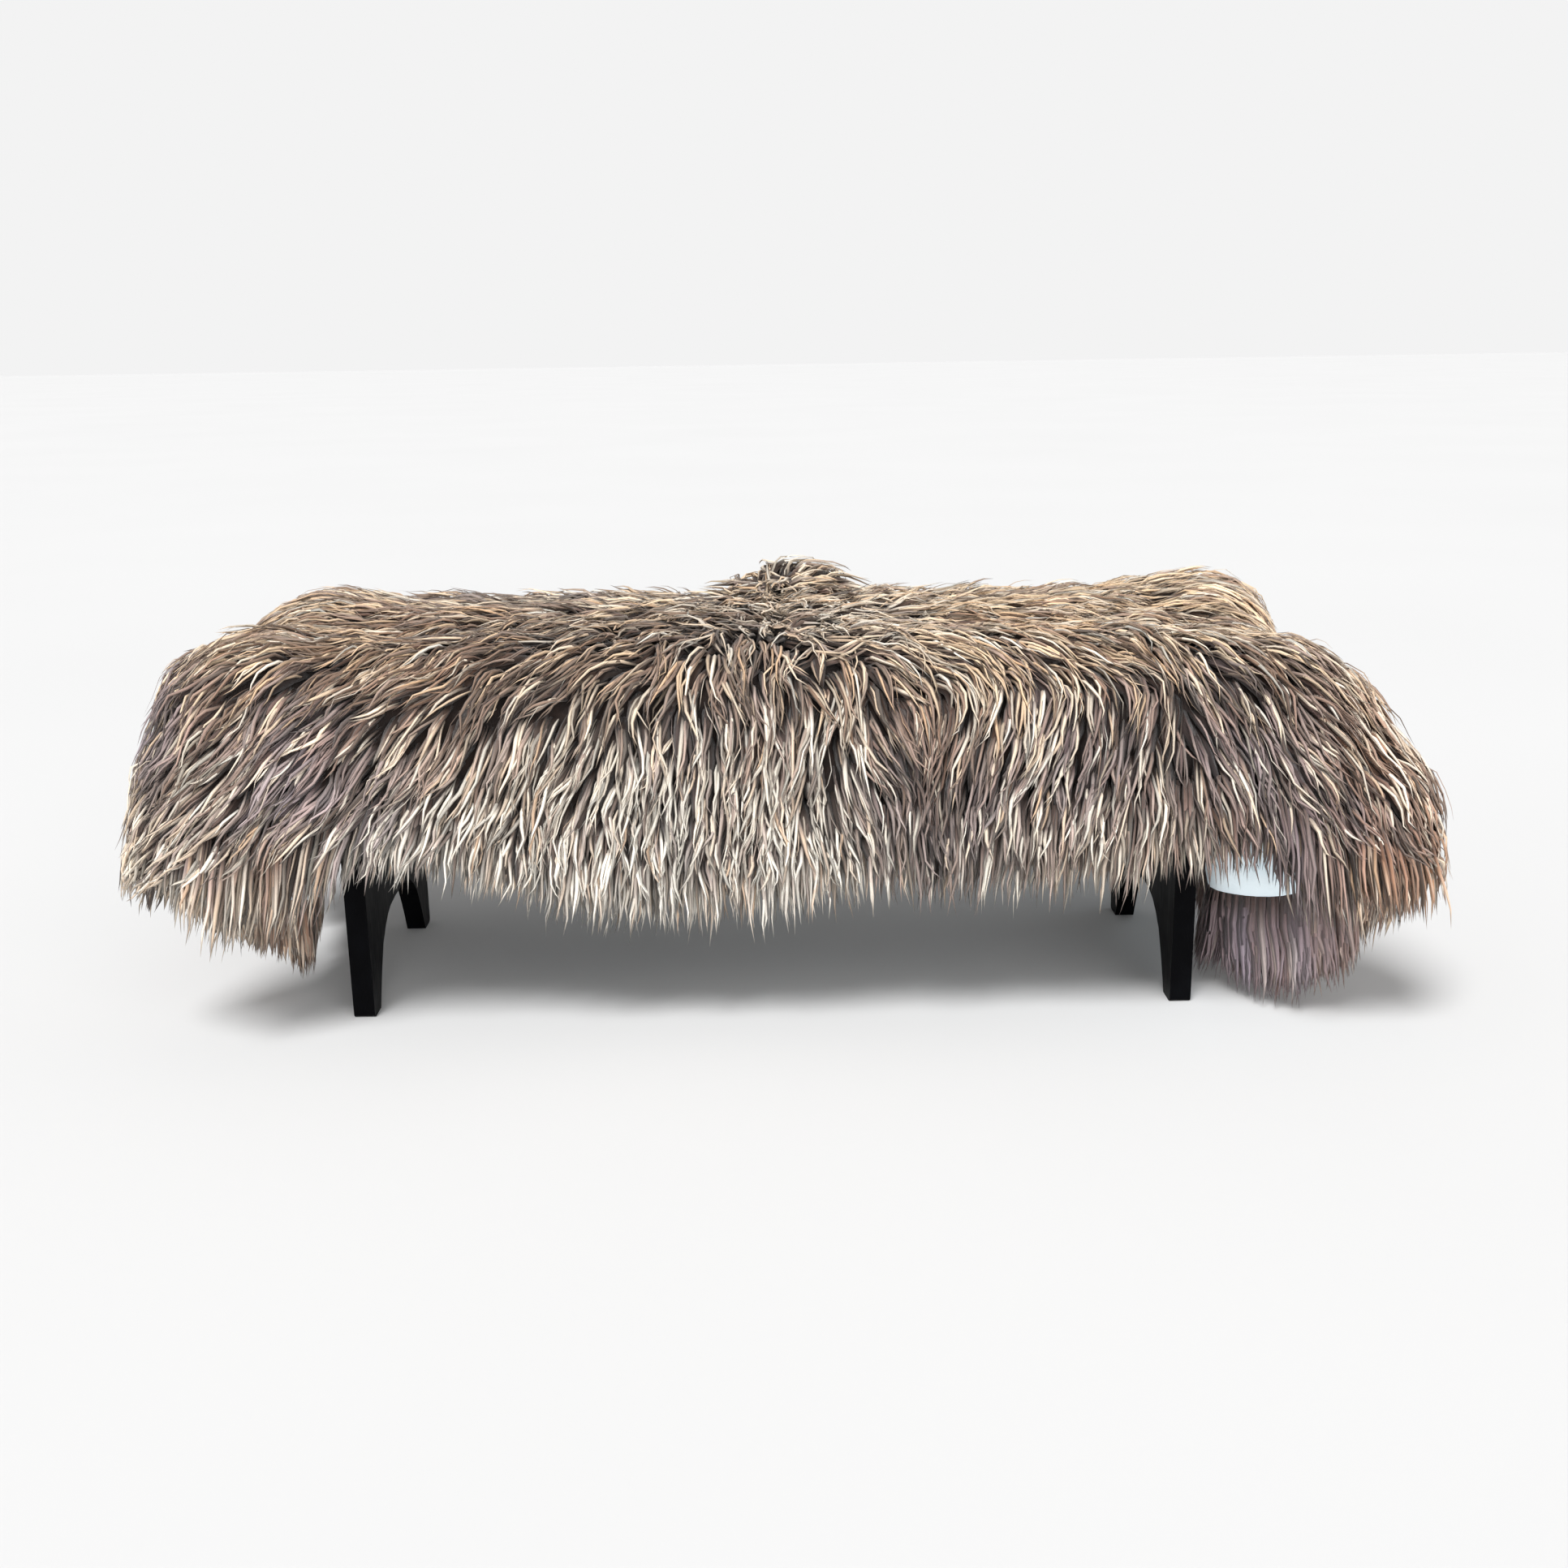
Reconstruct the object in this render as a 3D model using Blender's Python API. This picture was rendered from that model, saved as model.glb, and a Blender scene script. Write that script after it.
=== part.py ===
"""Double sheepskin rug draped over a low black bench, in metres, Z up, front towards -Y."""

import math
from collections import namedtuple

import bmesh
import bpy
from mathutils import Vector, noise

UP = Vector((0.0, 0.0, 1.0))

# Place of the bench in the object's frame: the rug hangs further out on its right
BENCH_X = -0.018
BENCH_Y = 0.014

# Bench
SEAT_TOP = 0.450
SEAT_THICK = 0.050
SEAT_LENGTH = 1.190
SEAT_DEPTH = 0.390
SEAT_CORNER = 0.030
SEAT_EDGE = 0.016
PANEL_THICK = 0.028
PANEL_OUTER_X = 0.559
PANEL_HALF_DEPTH = 0.1925
FOOT_ROUND = 0.007
FIT_GAP = 0.0003

# Arch cut in each end panel: half width at a height above the floor
Arch = namedtuple("Arch", "height half_width")
ARCH = (
    Arch(0.000, 0.1570),
    Arch(0.025, 0.1450),
    Arch(0.050, 0.1320),
    Arch(0.077, 0.1150),
    Arch(0.094, 0.0950),
    Arch(0.106, 0.0750),
    Arch(0.112, 0.0550),
    Arch(0.115, 0.0250),
)

# Pelts: each runs from the seam across the middle of the bench to one end
SEAM_HALF_GAP = 0.00020
SPINE_LENGTH = 0.450
FLAT_ROWS = 6
DROP_ROWS = 8
BEND_REACH = 0.050
BEND_SPREAD = 0.47
FALL_SHARE = 0.45
TOP_DEPTH = 0.056
EAVE_PLACE = 2.3
EAVE_SPREAD = 1.9
LUMP_HEIGHT = 0.009
LUMP_WAVE = 0.060
RIPPLE_SHARE = 0.55
RIPPLE_WAVE = 0.026
TUFT_PLACE = Vector((0.032, 0.175))
TUFT_HALF = Vector((0.115, 0.095))
TUFT_HEIGHT = 0.062

# Rim strips and their locks
RIM_GAP = 0.0009
STRIP_HEIGHT = 0.013
STRIP_END_GAP = 0.0004
LOCK_SWAY = 0.016
LOCK_SHORTEST = 0.72
LOCK_VARIATION = 0.9
LOCK_SAG = 0.25
LOCK_CURL = 0.40
LOCK_LENGTH_WAVES = 120.0
LOCK_SWAY_WAVES = 16.0
INNER_LOCK_LEAN = 0.5
FLOOR_CLEARANCE = 0.006

# A pelt's folds, in order from the front of the seam round its end to the back of the seam.
# Edge: where the hide leaves the seat. Hem: where the hide ends. X counts from the seam outwards.
# Depth: thickness of the wool. Eave: more of it over the bend. Rim: wool past the hem.
# Flare: lean of the rim wool outwards. Columns: strips of the surface up to the next fold.
# Cut: a rim strip starts here.
Fold = namedtuple("Fold", "edge_x edge_y hem_x hem_y hem_z depth eave rim flare columns cut")
RIGHT_FOLDS = (
    Fold(0.000, -0.185, 0.000, -0.240, 0.255, 0.046, 0.004, 0.116, 0.10, 4, 1),
    Fold(0.140, -0.185, 0.140, -0.240, 0.284, 0.046, 0.004, 0.112, 0.10, 5, 0),
    Fold(0.300, -0.185, 0.300, -0.238, 0.284, 0.048, 0.004, 0.112, 0.10, 4, 0),
    Fold(0.450, -0.185, 0.455, -0.240, 0.296, 0.048, 0.008, 0.112, 0.12, 4, 0),
    Fold(0.532, -0.185, 0.575, -0.256, 0.320, 0.050, 0.016, 0.112, 0.15, 4, 1),
    Fold(0.571, -0.184, 0.694, -0.298, 0.295, 0.052, 0.018, 0.124, 0.25, 3, 0),
    Fold(0.581, -0.178, 0.786, -0.292, 0.250, 0.054, 0.022, 0.115, 0.25, 3, 1),
    Fold(0.585, -0.168, 0.748, -0.248, 0.196, 0.048, 0.030, 0.135, 0.10, 3, 0),
    Fold(0.585, -0.155, 0.668, -0.206, 0.152, 0.042, 0.040, 0.170, 0.00, 3, 0),
    Fold(0.585, -0.132, 0.598, -0.152, 0.143, 0.037, 0.045, 0.170, 0.00, 2, 1),
    Fold(0.585, -0.090, 0.600, -0.088, 0.146, 0.038, 0.046, 0.156, 0.00, 3, 0),
    Fold(0.585, -0.020, 0.618, -0.016, 0.150, 0.040, 0.046, 0.135, 0.05, 3, 0),
    Fold(0.585, 0.060, 0.634, 0.066, 0.157, 0.040, 0.046, 0.120, 0.00, 3, 0),
    Fold(0.585, 0.115, 0.658, 0.148, 0.178, 0.040, 0.040, 0.112, 0.00, 3, 1),
    Fold(0.585, 0.150, 0.712, 0.212, 0.215, 0.046, 0.030, 0.112, 0.10, 3, 0),
    Fold(0.582, 0.175, 0.736, 0.268, 0.250, 0.052, 0.022, 0.110, 0.20, 3, 1),
    Fold(0.571, 0.184, 0.660, 0.276, 0.282, 0.050, 0.016, 0.105, 0.16, 4, 0),
    Fold(0.500, 0.185, 0.520, 0.242, 0.300, 0.048, 0.010, 0.105, 0.10, 6, 1),
    Fold(0.300, 0.185, 0.300, 0.238, 0.308, 0.046, 0.008, 0.105, 0.10, 6, 0),
    Fold(0.130, 0.185, 0.130, 0.240, 0.292, 0.046, 0.008, 0.105, 0.10, 5, 0),
    Fold(0.000, 0.185, 0.000, 0.240, 0.280, 0.046, 0.008, 0.105, 0.10, 0, 1),
)
LEFT_FOLDS = (
    Fold(0.000, -0.185, 0.000, -0.240, 0.255, 0.046, 0.004, 0.116, 0.10, 4, 1),
    Fold(0.140, -0.185, 0.140, -0.240, 0.248, 0.046, 0.004, 0.116, 0.10, 5, 0),
    Fold(0.270, -0.185, 0.270, -0.240, 0.262, 0.048, 0.004, 0.116, 0.10, 4, 0),
    Fold(0.420, -0.185, 0.425, -0.240, 0.306, 0.048, 0.008, 0.112, 0.12, 4, 0),
    Fold(0.532, -0.185, 0.570, -0.256, 0.304, 0.050, 0.016, 0.116, 0.15, 4, 1),
    Fold(0.571, -0.184, 0.678, -0.290, 0.278, 0.052, 0.018, 0.128, 0.22, 3, 0),
    Fold(0.581, -0.178, 0.750, -0.280, 0.260, 0.054, 0.024, 0.104, 0.22, 3, 1),
    Fold(0.585, -0.168, 0.722, -0.236, 0.218, 0.048, 0.032, 0.122, 0.10, 3, 0),
    Fold(0.585, -0.155, 0.664, -0.200, 0.176, 0.042, 0.042, 0.142, 0.00, 3, 0),
    Fold(0.585, -0.132, 0.610, -0.156, 0.156, 0.037, 0.045, 0.142, 0.00, 2, 1),
    Fold(0.585, -0.090, 0.610, -0.094, 0.154, 0.038, 0.046, 0.134, 0.00, 3, 0),
    Fold(0.585, -0.020, 0.622, -0.018, 0.160, 0.040, 0.046, 0.122, 0.05, 3, 0),
    Fold(0.585, 0.060, 0.638, 0.066, 0.167, 0.040, 0.046, 0.114, 0.00, 3, 0),
    Fold(0.585, 0.115, 0.655, 0.146, 0.186, 0.040, 0.040, 0.110, 0.00, 3, 1),
    Fold(0.585, 0.150, 0.704, 0.208, 0.218, 0.046, 0.030, 0.110, 0.10, 3, 0),
    Fold(0.582, 0.175, 0.722, 0.262, 0.252, 0.052, 0.022, 0.108, 0.20, 3, 1),
    Fold(0.571, 0.184, 0.650, 0.272, 0.284, 0.050, 0.016, 0.105, 0.16, 4, 0),
    Fold(0.500, 0.185, 0.520, 0.242, 0.302, 0.048, 0.010, 0.105, 0.10, 6, 1),
    Fold(0.300, 0.185, 0.300, 0.238, 0.300, 0.046, 0.008, 0.105, 0.10, 6, 0),
    Fold(0.130, 0.185, 0.130, 0.240, 0.286, 0.046, 0.008, 0.105, 0.10, 5, 0),
    Fold(0.000, 0.185, 0.000, 0.240, 0.280, 0.046, 0.008, 0.105, 0.10, 0, 1),
)
STRAIGHT_COLUMNS = 17

# Sections of a lock: how far down it they are and how wide against its root
Section = namedtuple("Section", "share size")
LOCK_SECTIONS = (
    Section(0.36, 0.88),
    Section(0.70, 0.62),
)

RIM_NAMES = ("front", "front_horn", "front_horn_inner", "end", "back_horn_inner", "back_horn", "back")


def clear_objects():
    """Empty the file of objects."""
    for item in list(bpy.data.objects):
        bpy.data.objects.remove(item, do_unlink=True)


def material(name, colour, roughness):
    """A plain surface of one colour."""
    surface = bpy.data.materials.new(name)
    surface.use_nodes = True
    shader = surface.node_tree.nodes["Principled BSDF"]
    shader.inputs["Base Color"].default_value = (*colour, 1.0)
    shader.inputs["Roughness"].default_value = roughness
    shader.inputs["Metallic"].default_value = 0.0
    return surface


def add_object(name, data, surface, group):
    """Put a mesh or curve into the object's collection, standing with the bench."""
    item = bpy.data.objects.new(name, data)
    item.location = (BENCH_X, BENCH_Y, 0.0)
    data.materials.append(surface)
    group.objects.link(item)
    return item


def mesh_from(name, solid):
    """Close a solid with its faces pointing outwards and return it as a mesh."""
    bmesh.ops.recalc_face_normals(solid, faces=solid.faces)
    mesh = bpy.data.meshes.new(name)
    solid.to_mesh(mesh)
    solid.free()
    return mesh


def shade_smooth(mesh):
    """Shade every face of a mesh smooth."""
    for face in mesh.polygons:
        face.use_smooth = True


def bench_seat(surface, group):
    """The seat board, with rounded corners and softened edges."""
    solid = bmesh.new()
    bmesh.ops.create_cube(solid, size=1.0)
    bmesh.ops.scale(solid, verts=solid.verts, vec=(SEAT_LENGTH, SEAT_DEPTH, SEAT_THICK))
    bmesh.ops.translate(solid, verts=solid.verts, vec=(0.0, 0.0, SEAT_TOP - SEAT_THICK / 2))
    upright = [edge for edge in solid.edges if abs(edge.verts[0].co.z - edge.verts[1].co.z) > 0.01]
    bmesh.ops.bevel(solid, geom=upright, offset=SEAT_CORNER, segments=4, profile=0.5, affect="EDGES")
    level = [edge for edge in solid.edges if edge.calc_face_angle(0.0) > math.radians(80)]
    bmesh.ops.bevel(solid, geom=level, offset=SEAT_EDGE, segments=3, profile=0.5, affect="EDGES")
    return add_object("bench_seat", mesh_from("bench_seat", solid), surface, group)


def panel_outline():
    """Half of an end panel's outline from the arch's crown round the foot to the top."""
    points = [(row.half_width, row.height) for row in reversed(ARCH)]
    for turn in range(4):
        angle = math.radians(-90 + 30 * turn)
        points.append((PANEL_HALF_DEPTH - FOOT_ROUND + FOOT_ROUND * math.cos(angle),
                       FOOT_ROUND + FOOT_ROUND * math.sin(angle)))
    points.append((PANEL_HALF_DEPTH, SEAT_TOP - SEAT_THICK - FIT_GAP))
    return points


def end_panel(name, side, surface, group):
    """One end board, with the arch that leaves its two feet."""
    half = panel_outline()
    outline = half + [(-across, height) for across, height in reversed(half)]
    curve = bpy.data.curves.new(name, "CURVE")
    curve.dimensions = "2D"
    curve.fill_mode = "BOTH"
    curve.extrude = PANEL_THICK / 2
    spline = curve.splines.new("POLY")
    spline.points.add(len(outline) - 1)
    for point, (across, height) in zip(spline.points, outline):
        point.co = (across, height, 0.0, 1.0)
    spline.use_cyclic_u = True
    item = add_object(name, curve, surface, group)
    item.rotation_euler = (math.radians(90), 0.0, math.radians(90))
    item.location.x += side * (PANEL_OUTER_X - PANEL_THICK / 2)
    return item


def between(rows, index, share):
    """Fold values a share of the way from one row of a table to the next, on a smooth curve."""
    before = rows[max(index - 1, 0)]
    here = rows[index]
    after = rows[index + 1]
    beyond = rows[min(index + 2, len(rows) - 1)]
    values = []
    for a, b, c, d in zip(before, here, after, beyond):
        bend = (2 * a - 5 * b + 4 * c - d) * share ** 2 + (3 * b - a - 3 * c + d) * share ** 3
        values.append(0.5 * (2 * b + (c - a) * share + bend))
    return Fold(*values)


def stations(folds):
    """The pelt's columns: smooth values between the folds of its table."""
    columns = []
    for index in range(len(folds) - 1):
        count = folds[index].columns
        columns.extend(between(folds, index, step / count) for step in range(count))
    columns.append(folds[-1])
    return columns


def cut_columns(folds):
    """Column numbers at which the rim is cut into strips."""
    cuts = []
    column = 0
    for fold in folds:
        if fold.cut:
            cuts.append(column)
        column += fold.columns
    return cuts


def spine_x(column, last):
    """Where a column starts, on the line along the middle of the seat."""
    return SPINE_LENGTH * min(column, last - column, STRAIGHT_COLUMNS) / STRAIGHT_COLUMNS


def meridian(fold, start_x):
    """One column of the hide's underside, from the middle of the seat to the hem."""
    level = SEAT_TOP + FIT_GAP
    start = Vector((start_x, 0.0, level))
    edge = Vector((fold.edge_x, fold.edge_y, level))
    hem = Vector((fold.hem_x, fold.hem_y, fold.hem_z))
    outwards = Vector((hem.x - edge.x, hem.y - edge.y, 0.0))
    reach = BEND_REACH + BEND_SPREAD * max(outwards.length - BEND_REACH, 0.0)
    bend = edge + outwards.normalized() * reach
    fall = hem + Vector((0.0, 0.0, FALL_SHARE * (level - hem.z)))
    points = [start.lerp(edge, row / FLAT_ROWS) for row in range(FLAT_ROWS)]
    for row in range(DROP_ROWS + 1):
        t = row / DROP_ROWS
        points.append((1 - t) ** 3 * edge + 3 * t * (1 - t) ** 2 * bend
                      + 3 * t ** 2 * (1 - t) * fall + t ** 3 * hem)
    return points


def swell(point, side):
    """How far the wool stands above or below its even depth at a point of the hide."""
    place = Vector((side * point.x, point.y, point.z))
    wave = noise.noise(place / LUMP_WAVE)
    ripple = noise.noise(place / RIPPLE_WAVE)
    offset = place.xy - TUFT_PLACE
    tuft = max(1.0 - math.hypot(offset.x / TUFT_HALF.x, offset.y / TUFT_HALF.y), 0.0)
    return LUMP_HEIGHT * (wave + RIPPLE_SHARE * ripple) + TUFT_HEIGHT * tuft


def eave(fold, row):
    """Extra wool where a column bends over the edge of the seat."""
    if row == 0:
        return 0.0
    return fold.eave * math.exp(-((row - FLAT_ROWS - EAVE_PLACE) / EAVE_SPREAD) ** 2)


def hide_normals(hide):
    """Outward directions on a grid of hide points."""
    last = len(hide) - 1
    rows = len(hide[0]) - 1
    normals = []
    for column in range(last + 1):
        line = []
        for row in range(rows + 1):
            if row < FLAT_ROWS:
                line.append(UP)
                continue
            along = hide[min(column + 1, last)][row] - hide[max(column - 1, 0)][row]
            down = hide[column][min(row + 1, rows)] - hide[column][row - 1]
            normal = down.cross(along)
            if column in (0, last):
                normal.x = 0.0
            line.append(normal.normalized())
        normals.append(line)
    return normals


def pelt_surfaces(folds, side):
    """Underside and woolly side of a pelt, as grids of points, with X from the seam outwards."""
    columns = stations(folds)
    last = len(columns) - 1
    hide = [meridian(fold, spine_x(index, last)) for index, fold in enumerate(columns)]
    normals = hide_normals(hide)
    wool = []
    for fold, line, ways in zip(columns, hide, normals):
        upper = []
        for row, (point, way) in enumerate(zip(line, ways)):
            depth = TOP_DEPTH + (fold.depth - TOP_DEPTH) * min(row / FLAT_ROWS, 1.0)
            upper.append(point + way * (depth + eave(fold, row) + swell(point, side)))
        wool.append(upper)
    return columns, hide, wool


def placed(point, side):
    """A pelt's point on its own side of the seam."""
    return Vector((side * (point.x + SEAM_HALF_GAP), point.y, point.z))


def pelt(name, folds, side, surface, group):
    """One pelt: the hide with its body of wool, as a loft through the columns."""
    columns, hide, wool = pelt_surfaces(folds, side)
    solid = bmesh.new()
    under = [[solid.verts.new(placed(point, side)) for point in line] for line in hide]
    upper = [[solid.verts.new(placed(point, side)) for point in line] for line in wool]
    rows = len(hide[0]) - 1
    last = len(columns) - 1
    for column in range(last):
        for row in range(rows):
            for grid in (under, upper):
                solid.faces.new((grid[column][row], grid[column + 1][row],
                                 grid[column + 1][row + 1], grid[column][row + 1]))
        inner = (under[column][rows], under[column + 1][rows])
        outer = (upper[column][rows], upper[column + 1][rows])
        solid.faces.new((inner[0], inner[1], outer[1]))
        solid.faces.new((inner[0], outer[1], outer[0]))
    for column in (0, last):
        for row in range(rows):
            solid.faces.new((under[column][row], under[column][row + 1],
                             upper[column][row + 1], upper[column][row]))
    bmesh.ops.remove_doubles(solid, verts=solid.verts, dist=0.0001)
    mesh = mesh_from(name, solid)
    shade_smooth(mesh)
    return add_object(name, mesh, surface, group)


def rim_frame(columns, hide, wool, place):
    """Inner and outer point of the rim, the way down and the way outwards, at a place along it."""
    index = min(int(place), len(columns) - 2)
    share = place - index
    inner = hide[index][-1].lerp(hide[index + 1][-1], share)
    outer = wool[index][-1].lerp(wool[index + 1][-1], share)
    before = hide[index][-2].lerp(hide[index + 1][-2], share)
    down = (inner - before).normalized()
    rim = columns[index].rim * (1 - share) + columns[index + 1].rim * share
    flare = columns[index].flare * (1 - share) + columns[index + 1].flare * share
    return inner, outer, down, rim, flare


def lock(solid, face, down, outwards, length, flare, sway):
    """Draw one tapering lock out of a face of the strip."""
    along = (face.verts[1].co - face.verts[0].co).normalized()
    ring = list(face.verts)
    centre = face.calc_center_median()
    offsets = [vert.co - centre for vert in ring]
    way = down * (1 - LOCK_SAG) - UP * LOCK_SAG + outwards * flare
    bmesh.ops.delete(solid, geom=[face], context="FACES_ONLY")

    def middle(share):
        bent = along * sway - outwards * (LOCK_CURL * flare * length)
        return centre + way * (length * share) + bent * share ** 2

    for section in LOCK_SECTIONS:
        level = [solid.verts.new(middle(section.share) + offset * section.size) for offset in offsets]
        for corner in range(4):
            following = (corner + 1) % 4
            solid.faces.new((ring[corner], ring[following], level[following], level[corner]))
        ring = level
    tip = solid.verts.new(middle(1.0))
    for corner in range(4):
        solid.faces.new((ring[corner], ring[(corner + 1) % 4], tip))


def lock_length(rim, root):
    """Length of the lock under a point of the strip: uneven, and short of the floor."""
    share = 0.5 + LOCK_VARIATION * noise.noise(root * LOCK_LENGTH_WAVES)
    hang = rim * (LOCK_SHORTEST + (1 - LOCK_SHORTEST) * share) - STRIP_HEIGHT
    return min(hang, root.z - FLOOR_CLEARANCE)


def rim_strip(name, surfaces, first, final, side, surface, group):
    """A narrow backing under the pelt's edge with the locks that hang past it."""
    columns, hide, wool = surfaces
    pitch = (hide[first + 1][-1] - hide[first][-1]).length
    places = [first + STRIP_END_GAP / pitch]
    places += [first + half / 2 for half in range(1, 2 * (final - first))]
    places.append(final - STRIP_END_GAP / pitch)
    solid = bmesh.new()
    frames = [rim_frame(columns, hide, wool, place) for place in places]
    tops = []
    bases = []
    for index, (inner, outer, down, rim, flare) in enumerate(frames):
        middle = inner.lerp(outer, 0.5)
        drop = down * (RIM_GAP + STRIP_HEIGHT)
        bases.append([solid.verts.new(placed(point + drop, side)) for point in (inner, middle, outer)])
        if index % 2 == 0:
            tops.append([solid.verts.new(placed(point + down * RIM_GAP, side))
                         for point in (inner, outer)])
    for left, right in zip(tops, tops[1:]):
        solid.faces.new((left[0], right[0], right[1]))
        solid.faces.new((left[0], right[1], left[1]))
    for index in range(len(tops) - 1):
        for edge, row in ((0, 0), (1, 2)):
            solid.faces.new((tops[index][edge], tops[index + 1][edge], bases[2 * index + 2][row],
                             bases[2 * index + 1][row], bases[2 * index][row]))
    hanging = []
    last = len(frames) - 1
    for index in range(last):
        left, right = bases[index], bases[index + 1]
        for row in range(2):
            face = solid.faces.new((left[row], right[row], right[row + 1], left[row + 1]))
            if (index + row) % 2 == 0:
                hanging.append((face, index, row))
    for top, base in ((tops[0], bases[0]), (tops[-1], bases[-1])):
        solid.faces.new((top[0], top[1], base[2], base[1], base[0]))
    for face, index, row in hanging:
        inner, outer, down, rim, flare = frames[index]
        down = Vector((side * down.x, down.y, down.z))
        outwards = outer - inner
        outwards = Vector((side * outwards.x, outwards.y, 0.0)).normalized()
        root = face.calc_center_median()
        sway = LOCK_SWAY * noise.noise(root * LOCK_SWAY_WAVES)
        lean = flare if row == 1 else flare * INNER_LOCK_LEAN
        lock(solid, face, down, outwards, lock_length(rim, root), lean, sway)
    mesh = mesh_from(name, solid)
    shade_smooth(mesh)
    return add_object(name, mesh, surface, group)


def rim(side_name, folds, side, surface, group):
    """All rim strips of one pelt."""
    surfaces = pelt_surfaces(folds, side)
    cuts = cut_columns(folds)
    strips = []
    for name, first, final in zip(RIM_NAMES, cuts, cuts[1:]):
        strips.append(rim_strip(f"rim_{side_name}_{name}", surfaces, first, final, side, surface, group))
    return strips


def build():
    """Make the bench and the rug on it."""
    clear_objects()
    group = bpy.data.collections.new("double_sheepskin_rug_on_a_bench")
    bpy.context.scene.collection.children.link(group)
    paint = material("black_paint", (0.012, 0.012, 0.014), 0.45)
    wool = material("brown_wool", (0.25, 0.18, 0.13), 0.95)
    tips = material("pale_wool_tips", (0.42, 0.31, 0.21), 0.95)
    seat = bench_seat(paint, group)
    pieces = [
        end_panel("bench_end_left", -1, paint, group),
        end_panel("bench_end_right", 1, paint, group),
        pelt("pelt_left", LEFT_FOLDS, -1, wool, group),
        pelt("pelt_right", RIGHT_FOLDS, 1, wool, group),
    ]
    pieces += rim("left", LEFT_FOLDS, -1, tips, group)
    pieces += rim("right", RIGHT_FOLDS, 1, tips, group)
    bpy.context.view_layer.update()
    for piece in pieces:
        piece.parent = seat
        piece.matrix_parent_inverse = seat.matrix_world.inverted()


build()
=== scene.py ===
# %% [markdown]
# # A double sheepskin rug draped over a low bench
# Two long-wool pelts are sewn end to end and thrown lengthwise over a black bench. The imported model
# gives the true sizes: the bench, and a plain solid for each pelt and each strip of hanging wool.
# Here the bench gets its paint, and the plain pelts are replaced by a thin hide, a body of
# under-wool and many separate locks of wool that lie on it.

# %% Load the model
import math
import bpy
import numpy as np
from mathutils import Matrix, Vector, noise
from mathutils.bvhtree import BVHTree
from mathutils.kdtree import KDTree


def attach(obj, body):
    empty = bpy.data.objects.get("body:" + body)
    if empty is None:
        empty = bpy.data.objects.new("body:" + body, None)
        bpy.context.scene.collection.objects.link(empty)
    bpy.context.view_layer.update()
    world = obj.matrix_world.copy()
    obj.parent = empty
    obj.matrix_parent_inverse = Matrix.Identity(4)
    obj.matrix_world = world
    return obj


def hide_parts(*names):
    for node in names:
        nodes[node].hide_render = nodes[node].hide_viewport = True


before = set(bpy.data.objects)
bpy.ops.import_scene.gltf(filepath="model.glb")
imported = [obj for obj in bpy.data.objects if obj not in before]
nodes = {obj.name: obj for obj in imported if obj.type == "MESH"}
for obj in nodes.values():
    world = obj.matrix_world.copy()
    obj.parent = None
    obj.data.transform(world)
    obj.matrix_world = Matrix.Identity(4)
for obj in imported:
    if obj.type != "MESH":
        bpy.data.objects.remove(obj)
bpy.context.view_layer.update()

# %% [markdown]
# ## The camera
# The photograph looks down about fifteen degrees from a little over two metres in front of the
# bench, from a standing person's chest height. The lens is mild. The camera is placed from the
# bench's feet and the line of the seat, because those are straight and their sizes are known.

# %% Camera
BENCH = np.array([-0.018, 0.014, 0.0])
CAMERA_PLACE = (BENCH[0] - 0.006, BENCH[1] - 2.264, 0.866)
CAMERA_PITCH = 14.96
CAMERA_YAW = 0.68
CAMERA_ROLL = -0.87
PHOTO_SIDE = 1932
FOCAL_PIXELS = 2050.0
SENSOR = 36.0

lens = bpy.data.cameras.new("camera")
lens.sensor_width = SENSOR
lens.lens = FOCAL_PIXELS / PHOTO_SIDE * SENSOR
camera = bpy.data.objects.new("camera", lens)
bpy.context.scene.collection.objects.link(camera)


def turn(axis, degrees):
    """A turn about one axis."""
    return Matrix.Rotation(math.radians(degrees), 4, axis)


facing = turn("Z", -CAMERA_YAW) @ turn("X", 90 - CAMERA_PITCH) @ turn("Z", CAMERA_ROLL)
facing.translation = CAMERA_PLACE
camera.matrix_world = facing
bpy.context.scene.camera = camera
print("lens:", round(lens.lens, 1), "mm")

# %% [markdown]
# ## Paint by sums
# A material is a small graph of nodes. Writing `tone * 0.8 + 0.1` is easier to read than wiring
# two nodes by hand, so one class wraps a socket and adds the Math nodes for such sums. Everything
# else goes through one method that takes a node's type, its settings and what feeds its sockets.


# %% Shader sums
class Tone:
    """One output of a material's node, for use in sums."""

    def __init__(self, paint, socket):
        self.paint = paint
        self.socket = socket

    def sum(self, operation, first, second):
        return self.paint.node("ShaderNodeMath", {"operation": operation}, {0: first, 1: second})

    def __add__(self, other):
        return self.sum("ADD", self, other)

    def __radd__(self, other):
        return self.sum("ADD", other, self)

    def __sub__(self, other):
        return self.sum("SUBTRACT", self, other)

    def __rsub__(self, other):
        return self.sum("SUBTRACT", other, self)

    def __mul__(self, other):
        return self.sum("MULTIPLY", self, other)

    def __rmul__(self, other):
        return self.sum("MULTIPLY", other, self)

    def __pow__(self, other):
        return self.sum("POWER", self, other)


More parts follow.
